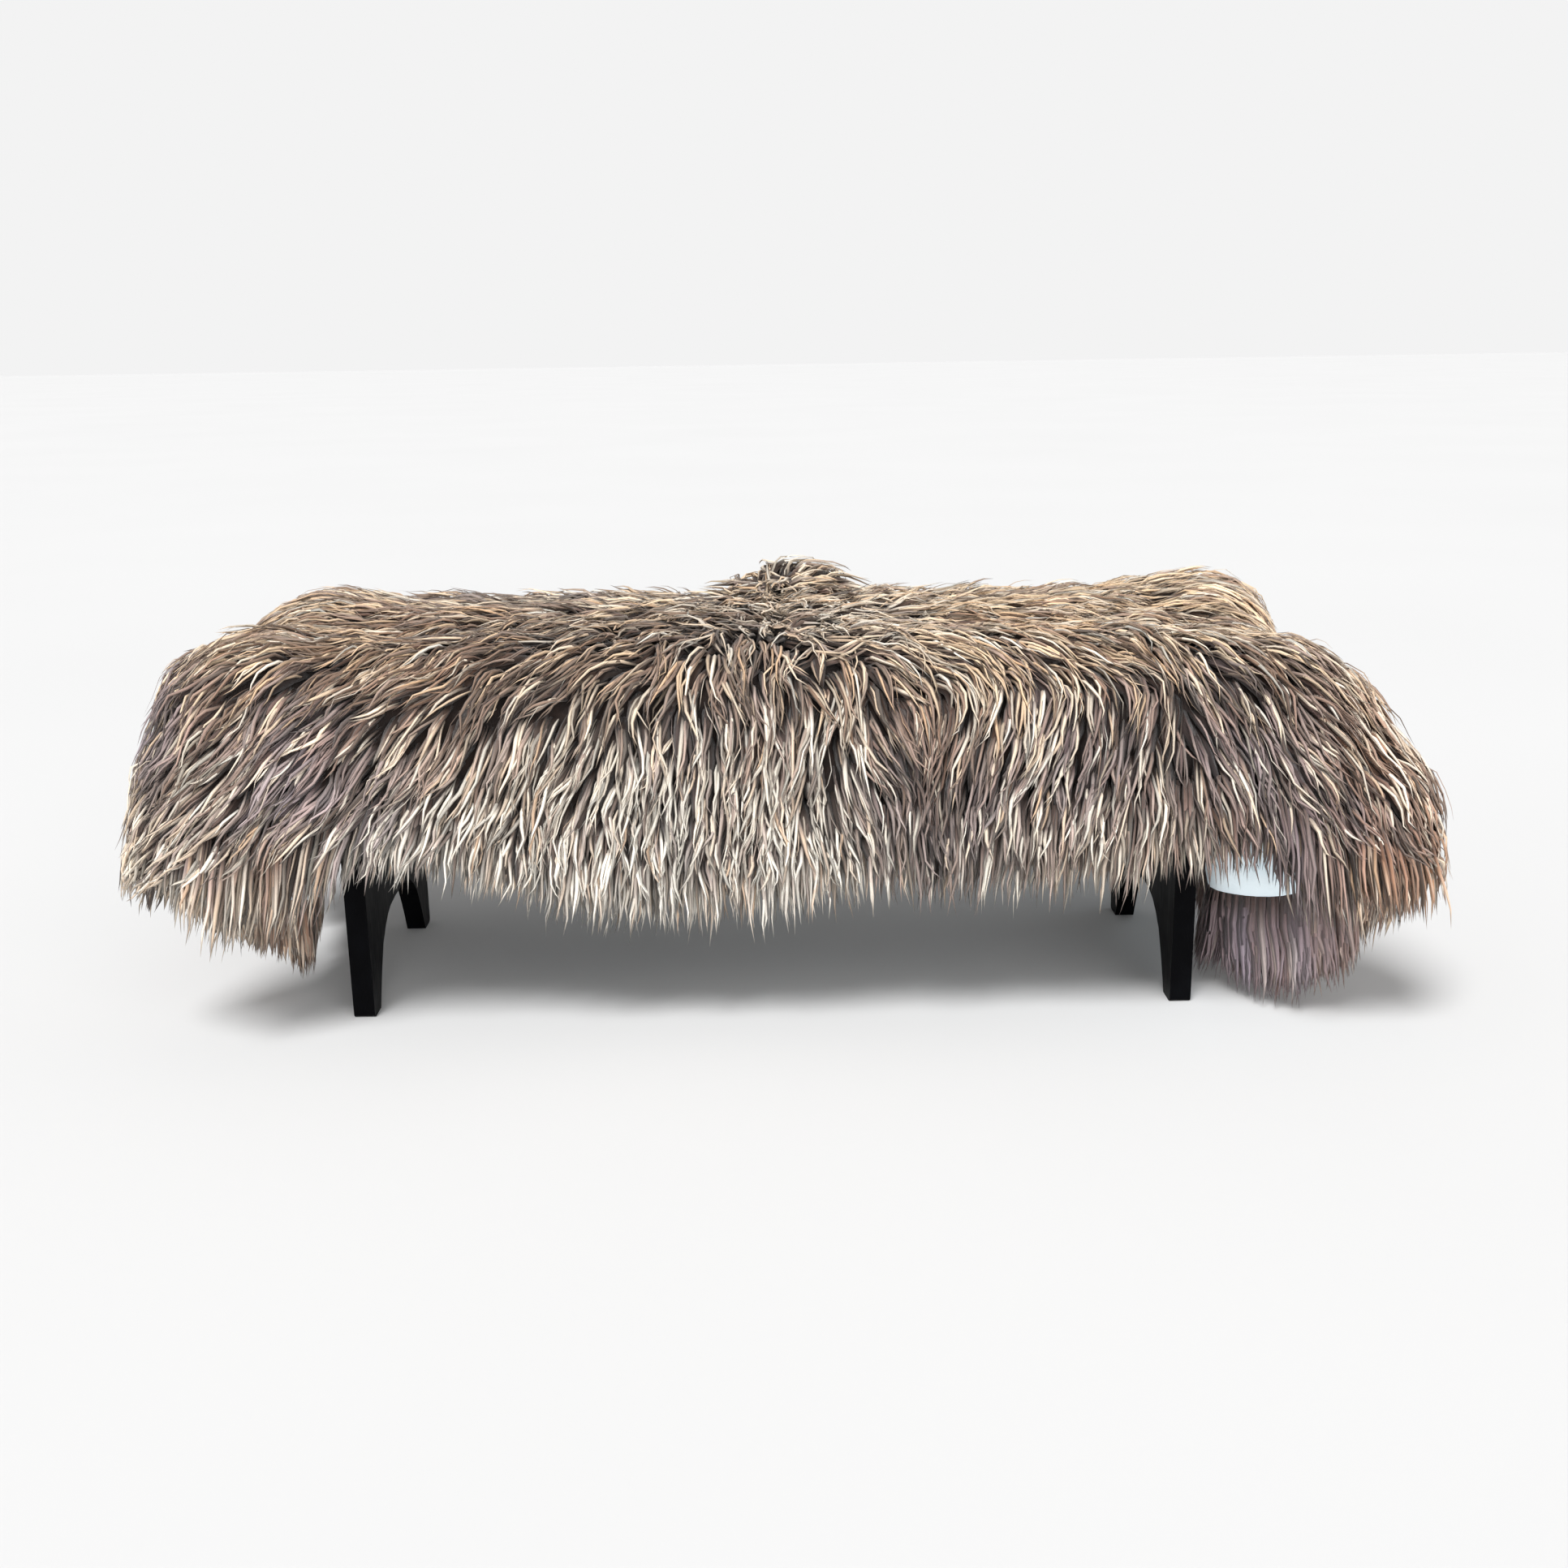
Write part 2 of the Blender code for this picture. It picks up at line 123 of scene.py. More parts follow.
class Paint:
    """A material built on one Principled shader."""

    def __init__(self, name, **constants):
        self.material = bpy.data.materials.new(name)
        self.material.use_nodes = True
        self.tree = self.material.node_tree
        self.shader = self.tree.nodes["Principled BSDF"]
        for socket, value in constants.items():
            self.shader.inputs[socket.replace("_", " ")].default_value = value

    def feed(self, socket, value):
        if isinstance(value, Tone):
            self.tree.links.new(value.socket, socket)
        else:
            socket.default_value = value

    def node(self, kind, settings=None, values=None, out=0):
        made = self.tree.nodes.new(kind)
        for name, value in (settings or {}).items():
            setattr(made, name, value)
        for socket, value in (values or {}).items():
            self.feed(made.inputs[socket], value)
        return Tone(self, made.outputs[out])

    def places(self):
        """The point on the object, in metres."""
        return self.node("ShaderNodeTexCoord", out=3)

    def attribute(self, name, out="Color"):
        return self.node("ShaderNodeAttribute", {"attribute_name": name}, out=out)

    def stretched(self, vector, scale):
        return self.node("ShaderNodeMapping", values={"Vector": vector, "Scale": scale})

    def cloud(self, vector, scale, detail=3.0, rough=0.5):
        values = {"Vector": vector, "Scale": scale, "Detail": detail, "Roughness": rough}
        return self.node("ShaderNodeTexNoise", values=values)

    def between(self, value, low, high, start=0.0, end=1.0):
        values = {0: value, 1: low, 2: high, 3: start, 4: end}
        return self.node("ShaderNodeMapRange", {"interpolation_type": "SMOOTHSTEP"}, values)

    def mix(self, share, first, second, blend="MIX"):
        values = {0: share, 6: first, 7: second}
        return self.node("ShaderNodeMix", {"data_type": "RGBA", "blend_type": blend}, values, out=2)

    def bump(self, height, distance, strength=1.0):
        values = {"Height": height, "Distance": distance, "Strength": strength}
        self.feed(self.shader.inputs["Normal"], self.node("ShaderNodeBump", values=values))

    def show(self, socket, value):
        self.feed(self.shader.inputs[socket], value)


def srgb(red, green, blue):
    """A colour as it looks on a screen, as the shader's linear numbers."""
    return tuple(((c / 255 + 0.055) / 1.055) ** 2.4 for c in (red, green, blue)) + (1.0,)


print("paint tools ready")

# %% [markdown]
# ## The bench's black paint
# The bench is wood under an even coat of satin black, with a faint brush texture. Feet get knocked
# by shoes and brooms, so small pale chips gather near the floor and thin out upwards.


# %% Black paint
CHIPS_UP_TO = 0.075
PAINT_DEPTH = 0.0006


def black_paint():
    paint = Paint("black_paint", Metallic=0.0, Specular_IOR_Level=0.03)
    place = paint.places()
    grain = paint.cloud(paint.stretched(place, (60.0, 60.0, 6.0)), 3.0, 4.0)
    chips = paint.cloud(place, 190.0, 2.0, 0.6)
    height = paint.node("ShaderNodeSeparateXYZ", values={"Vector": place}, out=2)
    low = paint.between(height, 0.0, CHIPS_UP_TO, 1.0, 0.0)
    worn = paint.between(chips * (0.86 + low * 0.14), 0.735, 0.775)
    dust = paint.between(paint.cloud(place, 22.0, 3.0), 0.35, 0.75)
    coat = paint.mix(dust * 0.5, srgb(4, 4, 6), srgb(12, 13, 16))
    paint.show("Base Color", paint.mix(worn, coat, srgb(150, 140, 126)))
    paint.show("Roughness", grain * 0.16 + dust * 0.10 + 0.30)
    paint.bump(grain * 0.6 - worn * 0.8, PAINT_DEPTH)
    return paint.material


def give(piece, material):
    piece.data.materials.clear()
    piece.data.materials.append(material)


bench_coat = black_paint()
for name in ("bench_seat", "bench_end_left", "bench_end_right"):
    give(nodes[name], bench_coat)
print("bench painted")

# %% [markdown]
# ## How the rug lies
# The hide lies flat on the seat, bends over its edge and falls to a wavy hem. Each row of the table
# is one column of the cloth: where it leaves the seat, where it ends, how deep the wool is there and
# how far the wool hangs past the hem. The folds are the same ones that the solid pelts have.

# %% The folds
SEAT_TOP = 0.4503
SPINE_LENGTH = 0.450
STRAIGHT_COLUMNS = 17
FLAT_ROWS = 6
DROP_ROWS = 8
BEND_REACH = 0.050
BEND_SPREAD = 0.47
FALL_SHARE = 0.45
TOP_DEPTH = 0.056
EAVE_PLACE = 2.3
EAVE_SPREAD = 1.9
LUMP_HEIGHT = 0.009
LUMP_WAVE = 0.060
RIPPLE_SHARE = 0.55
RIPPLE_WAVE = 0.026
TUFT_PLACE = (0.032, 0.175)
TUFT_HALF = (0.115, 0.095)
TUFT_HEIGHT = 0.062
LEAST_DEPTH = 0.026
HALF_SEAM = 0.0002

# edge x, edge y, hem x, hem y, hem z, depth, eave, rim, flare, columns
RIGHT_FOLDS = (
    (0.000, -0.185, 0.000, -0.240, 0.255, 0.046, 0.004, 0.116, 0.10, 4),
    (0.140, -0.185, 0.140, -0.240, 0.284, 0.046, 0.004, 0.112, 0.10, 5),
    (0.300, -0.185, 0.300, -0.238, 0.284, 0.048, 0.004, 0.112, 0.10, 4),
    (0.450, -0.185, 0.455, -0.240, 0.296, 0.048, 0.008, 0.112, 0.12, 4),
    (0.532, -0.185, 0.575, -0.256, 0.320, 0.050, 0.016, 0.112, 0.15, 4),
    (0.571, -0.184, 0.694, -0.298, 0.295, 0.052, 0.018, 0.124, 0.25, 3),
    (0.581, -0.178, 0.786, -0.292, 0.250, 0.054, 0.022, 0.115, 0.25, 3),
    (0.585, -0.168, 0.748, -0.248, 0.196, 0.048, 0.030, 0.135, 0.10, 3),
    (0.585, -0.155, 0.668, -0.206, 0.152, 0.042, 0.040, 0.170, 0.00, 3),
    (0.585, -0.132, 0.598, -0.152, 0.143, 0.037, 0.045, 0.170, 0.00, 2),
    (0.585, -0.090, 0.600, -0.088, 0.146, 0.038, 0.046, 0.156, 0.00, 3),
    (0.585, -0.020, 0.618, -0.016, 0.150, 0.040, 0.046, 0.135, 0.05, 3),
    (0.585, 0.060, 0.634, 0.066, 0.157, 0.040, 0.046, 0.120, 0.00, 3),
    (0.585, 0.115, 0.658, 0.148, 0.178, 0.040, 0.040, 0.112, 0.00, 3),
    (0.585, 0.150, 0.712, 0.212, 0.215, 0.046, 0.030, 0.112, 0.10, 3),
    (0.582, 0.175, 0.736, 0.268, 0.250, 0.052, 0.022, 0.110, 0.20, 3),
    (0.571, 0.184, 0.660, 0.276, 0.282, 0.050, 0.016, 0.105, 0.16, 4),
    (0.500, 0.185, 0.520, 0.242, 0.300, 0.048, 0.010, 0.105, 0.10, 6),
    (0.300, 0.185, 0.300, 0.238, 0.308, 0.046, 0.008, 0.105, 0.10, 6),
    (0.130, 0.185, 0.130, 0.240, 0.292, 0.046, 0.008, 0.105, 0.10, 5),
    (0.000, 0.185, 0.000, 0.240, 0.280, 0.046, 0.008, 0.105, 0.10, 0),
)
LEFT_FOLDS = (
    (0.000, -0.185, 0.000, -0.240, 0.255, 0.046, 0.004, 0.116, 0.10, 4),
    (0.140, -0.185, 0.140, -0.240, 0.248, 0.046, 0.004, 0.116, 0.10, 5),
    (0.270, -0.185, 0.270, -0.240, 0.262, 0.048, 0.004, 0.116, 0.10, 4),
    (0.420, -0.185, 0.425, -0.240, 0.306, 0.048, 0.008, 0.112, 0.12, 4),
    (0.532, -0.185, 0.570, -0.256, 0.304, 0.050, 0.016, 0.116, 0.15, 4),
    (0.571, -0.184, 0.678, -0.290, 0.278, 0.052, 0.018, 0.128, 0.22, 3),
    (0.581, -0.178, 0.750, -0.280, 0.260, 0.054, 0.024, 0.104, 0.22, 3),
    (0.585, -0.168, 0.722, -0.236, 0.218, 0.048, 0.032, 0.122, 0.10, 3),
    (0.585, -0.155, 0.664, -0.200, 0.176, 0.042, 0.042, 0.142, 0.00, 3),
    (0.585, -0.132, 0.610, -0.156, 0.156, 0.037, 0.045, 0.142, 0.00, 2),
    (0.585, -0.090, 0.610, -0.094, 0.154, 0.038, 0.046, 0.134, 0.00, 3),
    (0.585, -0.020, 0.622, -0.018, 0.160, 0.040, 0.046, 0.122, 0.05, 3),
    (0.585, 0.060, 0.638, 0.066, 0.167, 0.040, 0.046, 0.114, 0.00, 3),
    (0.585, 0.115, 0.655, 0.146, 0.186, 0.040, 0.040, 0.110, 0.00, 3),
    (0.585, 0.150, 0.704, 0.208, 0.218, 0.046, 0.030, 0.110, 0.10, 3),
    (0.582, 0.175, 0.722, 0.262, 0.252, 0.052, 0.022, 0.108, 0.20, 3),
    (0.571, 0.184, 0.650, 0.272, 0.284, 0.050, 0.016, 0.105, 0.16, 4),
    (0.500, 0.185, 0.520, 0.242, 0.302, 0.048, 0.010, 0.105, 0.10, 6),
    (0.300, 0.185, 0.300, 0.238, 0.300, 0.046, 0.008, 0.105, 0.10, 6),
    (0.130, 0.185, 0.130, 0.240, 0.286, 0.046, 0.008, 0.105, 0.10, 5),
    (0.000, 0.185, 0.000, 0.240, 0.280, 0.046, 0.008, 0.105, 0.10, 0),
)
# place x, y, z, radius, how much deeper the wool is there
SWELLS = (
    (-0.56, 0.17, 0.48, 0.13, -0.004), (-0.66, -0.19, 0.45, 0.12, 0.007),
    (-0.62, 0.04, 0.47, 0.11, 0.026), (-0.72, -0.06, 0.41, 0.10, 0.012),
    (-0.77, -0.27, 0.30, 0.13, -0.013), (0.62, 0.06, 0.47, 0.10, 0.013),
    (0.67, 0.13, 0.45, 0.08, 0.029), (0.69, -0.19, 0.43, 0.12, -0.030),
    (0.79, -0.27, 0.30, 0.12, -0.012), (0.03, 0.175, 0.45, 0.06, -0.012),
)
SIDES = {"left": (LEFT_FOLDS, -1.0), "right": (RIGHT_FOLDS, 1.0)}
FINE = 2
EXTRA_ROWS = 8
EXTRA_LENGTH = 0.24


def columns_of(folds):
    """Smooth columns between the folds, twice as close together as the solid pelt's."""
    rows = np.array([row[:9] for row in folds])
    counts = [row[9] for row in folds]
    made = []
    for index in range(len(rows) - 1):
        a, b, c, d = (rows[min(max(index + k, 0), len(rows) - 1)] for k in (-1, 0, 1, 2))
        for step in range(counts[index] * FINE):
            t = step / (counts[index] * FINE)
            made.append(0.5 * (2 * b + (c - a) * t + (2 * a - 5 * b + 4 * c - d) * t ** 2
                               + (3 * b - a - 3 * c + d) * t ** 3))
    made.append(rows[-1])
    return np.array(made)


def unit(vectors):
    return vectors / np.maximum(np.linalg.norm(vectors, axis=-1, keepdims=True), 1e-9)


def hide_points(columns):
    """The hide's underside as a grid of points, from the spine down to the hem."""
    count = len(columns)
    number = np.arange(count)
    reach_along = np.minimum(np.minimum(number, count - 1 - number), STRAIGHT_COLUMNS * FINE)
    spine = np.zeros((count, 3))
    spine[:, 0] = SPINE_LENGTH * reach_along / (STRAIGHT_COLUMNS * FINE)
    spine[:, 2] = SEAT_TOP
    edge = np.column_stack((columns[:, 0:2], np.full(count, SEAT_TOP)))
    hem = columns[:, 2:5]
    away = np.column_stack((hem[:, :2] - edge[:, :2], np.zeros(count)))
    far = np.linalg.norm(away, axis=1, keepdims=True)
    bend = edge + away / far * (BEND_REACH + BEND_SPREAD * np.maximum(far - BEND_REACH, 0.0))
    fall = hem.copy()
    fall[:, 2] += FALL_SHARE * (SEAT_TOP - hem[:, 2])
    flat = [spine + (edge - spine) * t for t in np.arange(FLAT_ROWS * FINE) / (FLAT_ROWS * FINE)]
    drop = [(1 - t) ** 3 * edge + 3 * t * (1 - t) ** 2 * bend + 3 * t ** 2 * (1 - t) * fall + t ** 3 * hem
            for t in np.arange(DROP_ROWS * FINE + 1) / (DROP_ROWS * FINE)]
    return np.stack(flat + drop, axis=1)


def hide_normals(hide):
    """Outward directions on that grid."""
    along = np.gradient(hide, axis=0)
    down = np.gradient(hide, axis=1)
    normals = np.cross(down, along)
    normals[:, :FLAT_ROWS * FINE] = (0.0, 0.0, 1.0)
    normals[[0, -1], :, 0] = 0.0
    return unit(normals)


def swell(point, side):
    """How far the wool stands above or below its even depth at a point of the hide."""
    place = Vector((side * point[0], point[1], point[2]))
    wave = noise.noise(place / LUMP_WAVE) + RIPPLE_SHARE * noise.noise(place / RIPPLE_WAVE)
    off = math.hypot((place.x - TUFT_PLACE[0]) / TUFT_HALF[0], (place.y - TUFT_PLACE[1]) / TUFT_HALF[1])
    return LUMP_HEIGHT * wave + TUFT_HEIGHT * max(1.0 - off, 0.0)


def wool_depth(columns, hide, side):
    """Depth of the wool at each point of the hide."""
    row = np.arange(hide.shape[1]) / FINE
    share = np.minimum(row / FLAT_ROWS, 1.0)
    depth = TOP_DEPTH + (columns[:, 5:6] - TOP_DEPTH) * share
    eave = np.exp(-((row - FLAT_ROWS - EAVE_PLACE) / EAVE_SPREAD) ** 2) * (row > 0)
    lumps = np.array([[swell(point, side) for point in line] for line in hide])
    more = np.zeros(hide.shape[:2])
    for x, y, z, radius, size in SWELLS:
        more += size * np.exp(-((hide * (side, 1.0, 1.0) - (x, y, z)) ** 2).sum(2) / radius ** 2)
    return np.maximum(depth + columns[:, 6:7] * eave + lumps + more, LEAST_DEPTH)


def placed(points, side):
    """Points of one pelt on their own side of the seam, where the bench stands."""
    return (points + (HALF_SEAM, 0.0, 0.0)) * (side, 1.0, 1.0) + BENCH


pelts = {}
for side_name, (folds, side) in SIDES.items():
    columns = columns_of(folds)
    hide = hide_points(columns)
    normals = hide_normals(hide)
    depth = wool_depth(columns, hide, side)
    pelts[side_name] = dict(columns=columns, hide=hide, normals=normals, depth=depth, side=side)
    print(side_name, "pelt grid", hide.shape[:2])

# %% [markdown]
# ## A sheet on its folds, with a thickness
# A hide is one flat sheet before it is laid down. By hand one adds a grid, moves its points onto the
# folds, and gives it a thickness with Solidify. The helper does the same. The thickness isn't even,
# so the second side's points are then moved to their own places. Each point carries its number in
# the grid, so that its place is still known after the points along the spine are merged.


# %% Shell helper
MERGE = 0.0001


def grid_numbers(mesh, count, rows):
    """The number of each point of a fresh grid in the table of points."""
    flat = np.empty(len(mesh.vertices) * 3, np.float32)
    mesh.vertices.foreach_get("co", flat)
    place = (flat.reshape(-1, 3)[:, :2] + 0.5) * (count - 1, rows - 1)
    across, down = place.round().astype(np.int32).T
    return across * rows + down


def move_points(mesh, points):
    mesh.vertices.foreach_set("co", points.astype(np.float32).ravel())


def shell(name, low, high, material):
    """A sheet on one grid of points, with a second grid as its other side."""
    count, rows = low.shape[:2]
    low, high = low.reshape(-1, 3), high.reshape(-1, 3)
    bpy.ops.object.select_all(action="DESELECT")
    bpy.ops.mesh.primitive_grid_add(x_subdivisions=count - 1, y_subdivisions=rows - 1, size=1.0,
                                    calc_uvs=False)
    piece = bpy.context.object
    mesh = piece.data
    piece.name = mesh.name = name
    number = grid_numbers(mesh, count, rows)
    mesh.attributes.new("number", "INT", "POINT").data.foreach_set("value", number)
    move_points(mesh, low[number])

    bpy.ops.object.mode_set(mode="EDIT")
    bpy.ops.mesh.select_all(action="SELECT")
    bpy.ops.mesh.remove_doubles(threshold=MERGE)
    bpy.ops.object.mode_set(mode="OBJECT")
    number = np.empty(len(mesh.vertices), np.int32)
    mesh.attributes["number"].data.foreach_get("value", number)
    mesh.attributes.remove(mesh.attributes["number"])
    bpy.ops.object.modifier_add(type="SOLIDIFY")
    bpy.ops.object.modifier_apply(modifier=piece.modifiers[0].name)
    mesh = piece.data
    move_points(mesh, np.concatenate((low[number], high[number])))

    bpy.ops.object.mode_set(mode="EDIT")
    bpy.ops.mesh.select_all(action="SELECT")
    bpy.ops.mesh.normals_make_consistent(inside=False)
    bpy.ops.object.mode_set(mode="OBJECT")
    bpy.ops.object.shade_smooth()
    give(piece, material)
    print(name, "points", len(mesh.vertices), "faces", len(mesh.polygons))
    return piece


print("points are merged within", MERGE * 1000, "mm")

# %% [markdown]
# ## The hide
# The tanned side is pale, almost white suede with a bluish cast and a short nap. Only a patch of it
# shows, inside the fold at the right end. It is modelled as a whole sheet all the same, because the
# object is looked at from below too. The right end gets a faint painted glow: an emission that
# brightens that shaded patch, though the hide is no lamp.


# %% Hide
HIDE_THICK = 0.0018
NAP_DEPTH = 0.0005
# Painted light: the strength of the hide's own glow, and where along the bench it fades in.
PAINTED_GLOW = 0.32
GLOW_FROM, GLOW_FULL = 0.50, 0.58


def suede():
    paint = Paint("white_suede", Sheen_Weight=0.35, Sheen_Roughness=0.5, Specular_IOR_Level=0.2,
                  Emission_Strength=PAINTED_GLOW)
    place = paint.places()
    nap = paint.cloud(place, 620.0, 4.0, 0.6)
    blotch = paint.cloud(place, 14.0, 4.0, 0.55)
    pores = paint.cloud(place, 2100.0, 2.0)
    tone = paint.mix(paint.between(blotch, 0.35, 0.7), srgb(224, 240, 247), srgb(244, 252, 255))
    tone = paint.mix(paint.between(nap, 0.45, 0.75) * 0.35, tone, srgb(206, 222, 232))
    paint.show("Base Color", tone)
    # Painted light: the glow is masked to the right end, where the patch of hide inside the fold lies in shade.
    place_x = paint.node("ShaderNodeSeparateXYZ", values={"Vector": place}, out=0)
    lit = paint.between(place_x, GLOW_FROM, GLOW_FULL)
    paint.show("Emission Color", paint.mix(lit, (0.0, 0.0, 0.0, 1.0), tone))
    paint.show("Roughness", blotch * 0.12 + 0.80)
    paint.bump(nap * 0.7 + pores * 0.3, NAP_DEPTH)
    return paint.material


white_suede = suede()
hides = {}
for side_name, pelt in pelts.items():
    low = placed(pelt["hide"], pelt["side"])
    high = placed(pelt["hide"] + pelt["normals"] * HIDE_THICK, pelt["side"])
    hides[side_name] = shell(f"hide_{side_name}", low, high, white_suede)
    columns_long = np.linalg.norm(np.diff(pelt["hide"], axis=1), axis=2).sum(1)
    print(side_name, "hide, longest column", round(float(columns_long.max()), 3))

# %% [markdown]
# ## The under-wool
# Between the locks one sees down into the wool. A soft body just below the tips of the wool fills
# the gaps with painted shade, a near-black brown, so no hide shows through, and the locks need not be counted in
# millions.

# %% Under-wool
BODY_SINK = 0.017
BODY_LEAST = 0.010
BODY_GAP = 0.0006
BODY_BASE = 0.0016
HEM_TAPER = (0.85, 0.62, 0.36, 0.14)
TUFTING_DEPTH = 0.004


def under_wool_painted_shade():
    paint = Paint("under_wool_painted_shade", Sheen_Weight=0.2, Sheen_Roughness=0.6, Specular_IOR_Level=0.15)
    place = paint.places()
    tuft = paint.cloud(place, 55.0, 5.0, 0.6)
    fibre = paint.cloud(paint.stretched(place, (900.0, 900.0, 90.0)), 1.0, 3.0, 0.6)
    # Painted shade: these near-black browns stand for the shade deep between the locks.
    tone = paint.mix(paint.between(tuft, 0.3, 0.7), srgb(22, 13, 9), srgb(44, 28, 20))
    paint.show("Base Color", paint.mix(fibre * 0.6, tone, srgb(28, 21, 18)))
    paint.show("Roughness", tuft * 0.1 + 0.85)
    paint.bump(tuft * 0.6 + fibre * 0.4, TUFTING_DEPTH)
    return paint.material


painted_shade_wool = under_wool_painted_shade()
bodies = {}
for side_name, pelt in pelts.items():
    lift = np.maximum(pelt["depth"] - BODY_SINK, BODY_LEAST)[..., None]
    taper = np.ones(pelt["hide"].shape[1])
    taper[-len(HEM_TAPER):] = HEM_TAPER
    low = placed(pelt["hide"] + pelt["normals"] * (HIDE_THICK + BODY_GAP), pelt["side"])
    top = pelt["hide"] + pelt["normals"] * (HIDE_THICK + BODY_BASE + lift * taper[None, :, None])
    bodies[side_name] = shell(f"under_wool_painted_shade_{side_name}", low, placed(top, pelt["side"]), painted_shade_wool)
    print(side_name, "under-wool laid")

# %% [markdown]
# ## A surface for the wool to lie on
# Wool follows the shape below it: it runs along the top, bends over the edge and hangs free past
# the hem. So the locks are drawn on a helper surface at the height of the wool's tips, which goes on
# downwards beyond the hem. It is only used for measuring and never becomes a piece.


# %% Lying surface
DOWN = np.array((0.0, 0.0, -1.0))
DROOP = 0.35


def lying_surface(pelt):
    """Grid of points at the height of the wool, carried on past the hem."""
    top = pelt["hide"] + pelt["normals"] * pelt["depth"][..., None]
    slope = unit(pelt["hide"][:, -1] - pelt["hide"][:, -3])
    more = []
    point = top[:, -1]
    for row in range(EXTRA_ROWS):
        sag = (row + 1) / EXTRA_ROWS
        way = unit(slope * (1 - sag) + DOWN * (DROOP + sag))
        point = point + way * (EXTRA_LENGTH / EXTRA_ROWS)
        more.append(point)
    grid = np.concatenate((top, np.stack(more, axis=1)), axis=1)
    return placed(grid, pelt["side"])


def tree_of(grid, side):
    count, rows = grid.shape[:2]
    number = np.arange(count * rows).reshape(count, rows)
    quads = np.stack((number[:-1, :-1], number[1:, :-1], number[1:, 1:], number[:-1, 1:]), -1)
    if side > 0:
        quads = quads[..., ::-1]
    return BVHTree.FromPolygons(grid.reshape(-1, 3).tolist(), quads.reshape(-1, 4).tolist())


trees = {}
for side_name, pelt in pelts.items():
    pelt["lying"] = lying_surface(pelt)
    trees[side_name] = tree_of(pelt["lying"], pelt["side"])
print("lying surfaces ready")

# %% [markdown]
# ## The way the wool flows
# On this rug the pelts meet neck to neck, so the wool runs from the middle of the bench towards its
# ends, fans out over the corners and drops down the front and back. A few short tables give how much
# the wool leans sideways at a place along the bench.

# %% Flow
TOP_LEAN_X = ((-0.60, -1.00), (-0.14, -0.95), (-0.03, -0.35), (0.02, 0.20), (0.10, 0.90), (0.60, 1.00))
FRONT_LEAN_X = ((-0.85, -0.55), (-0.72, -0.75), (-0.58, -0.95), (-0.45, -0.80), (-0.30, -0.46),
                (-0.15, -0.14), (0.00, 0.03), (0.08, 0.14), (0.15, 0.30), (0.19, 0.08), (0.24, -0.34),
                (0.36, -0.30), (0.46, -0.08), (0.56, 0.40), (0.70, 0.62), (0.85, 0.50))
BACK_LEAN_X = ((-0.75, -0.60), (-0.50, -0.50), (-0.15, -0.15), (0.15, 0.15), (0.50, 0.50), (0.75, 0.60))
TOP_LEAN_Y = 4.6
TOP_PARTING_Y = 0.130
NOISE_SEED = 7
TOP_LEAN_SPAN = (-1.1, 0.8)


def table(rows, values):
    """Sizes at some places, from a table of places and sizes."""
    places, sizes = zip(*rows)
    return np.interp(values, places, sizes)


def smooth(low, high, values):
    share = np.clip((values - low) / (high - low), 0.0, 1.0)
    return share * share * (3 - 2 * share)


def hill(*terms):
    """A smooth hill: one at the middle of every term, nothing far from it."""
    return np.exp(-sum(((values - middle) / width) ** 2 for values, middle, width in terms))


def flow(points, normals):
    """The direction in which wool lies at points of the surface."""
    x, y = points[:, 0] - BENCH[0], points[:, 1] - BENCH[1]
    level = smooth(0.35, 0.85, normals[:, 2])[:, None]
    rear = smooth(0.12, 0.18, y)
    forward = np.clip((y - TOP_PARTING_Y) * TOP_LEAN_Y - 0.12, *TOP_LEAN_SPAN)
    forward -= hill((x, 0, 0.13)) * (1 - rear)
    forward += 1.3 * rear * hill((x, 0.03, 0.24))
    top = np.column_stack((table(TOP_LEAN_X, x), forward, np.zeros(len(x))))
    lean = np.where(normals[:, 1] < 0.25, table(FRONT_LEAN_X, x), table(BACK_LEAN_X, x))
    lean = lean * np.where(abs(x) < 0.5, 0.35 + 0.65 * smooth(0.22, 0.38, points[:, 2]), 1.0)
    side = np.column_stack((lean, np.zeros(len(x)), np.full(len(x), -1.0)))
    way = top * level + side * (1 - level)
    way -= normals * (way * normals).sum(1, keepdims=True)
    return unit(way)


noise.seed_set(NOISE_SEED)


def swirl(points, wave, seed):
    """A smooth random direction at each point, the same for neighbours closer than a wave."""
    shift = Vector((seed * 7.1, seed * 3.3, seed * 5.7))
    return np.array([noise.noise_vector(Vector(p) / wave + shift)[:] for p in points.tolist()])


print("flow tables ready, the top leans from", TOP_LEAN_X[0][1], "to", TOP_LEAN_X[-1][1])

# %% [markdown]
# ## Guides
# A staple of wool is a bundle that hangs together. Its course is worked out once, as a guide: it
# starts deep in the wool, comes up to the surface and follows the flow, step by step, with the
# surface found again after each step. All the locks of the bundle then follow their guide.

# %% Guides
GUIDE_STEPS = 9
ROOT_SPACE = 0.0168
CANDIDATES = 15000
ROOT_SINK = 0.022
TIP_RISE = 0.006
STIFF = 0.45
TURN_SHARE = 0.6
BROAD_CURL, FINE_CURL, FINE_SHARE = 0.055, 0.026, 0.22
LENGTH = (0.082, 0.125)
DENSER = 0.30
FLOOR_CLEAR = 0.006
rng = np.random.default_rng(21)


def parting(points):
    """Where the wool parts and needs more roots: in the middle, along the front and behind the tuft."""
    x, y, z = (points - BENCH).T
    middle = hill((x, 0, 0.10), (y, 0.03, 0.16))
    ridge = hill((y, -0.205, 0.035)) * smooth(0.38, 0.44, z)
    corner = hill((abs(x), 0.62, 0.05)) * smooth(0.34, 0.42, z)
    behind = 1.3 * hill((x, 0.03, 0.22), (y, 0.20, 0.06))
    return np.clip(middle + 0.8 * ridge + 0.6 * corner + behind, 0, 1)


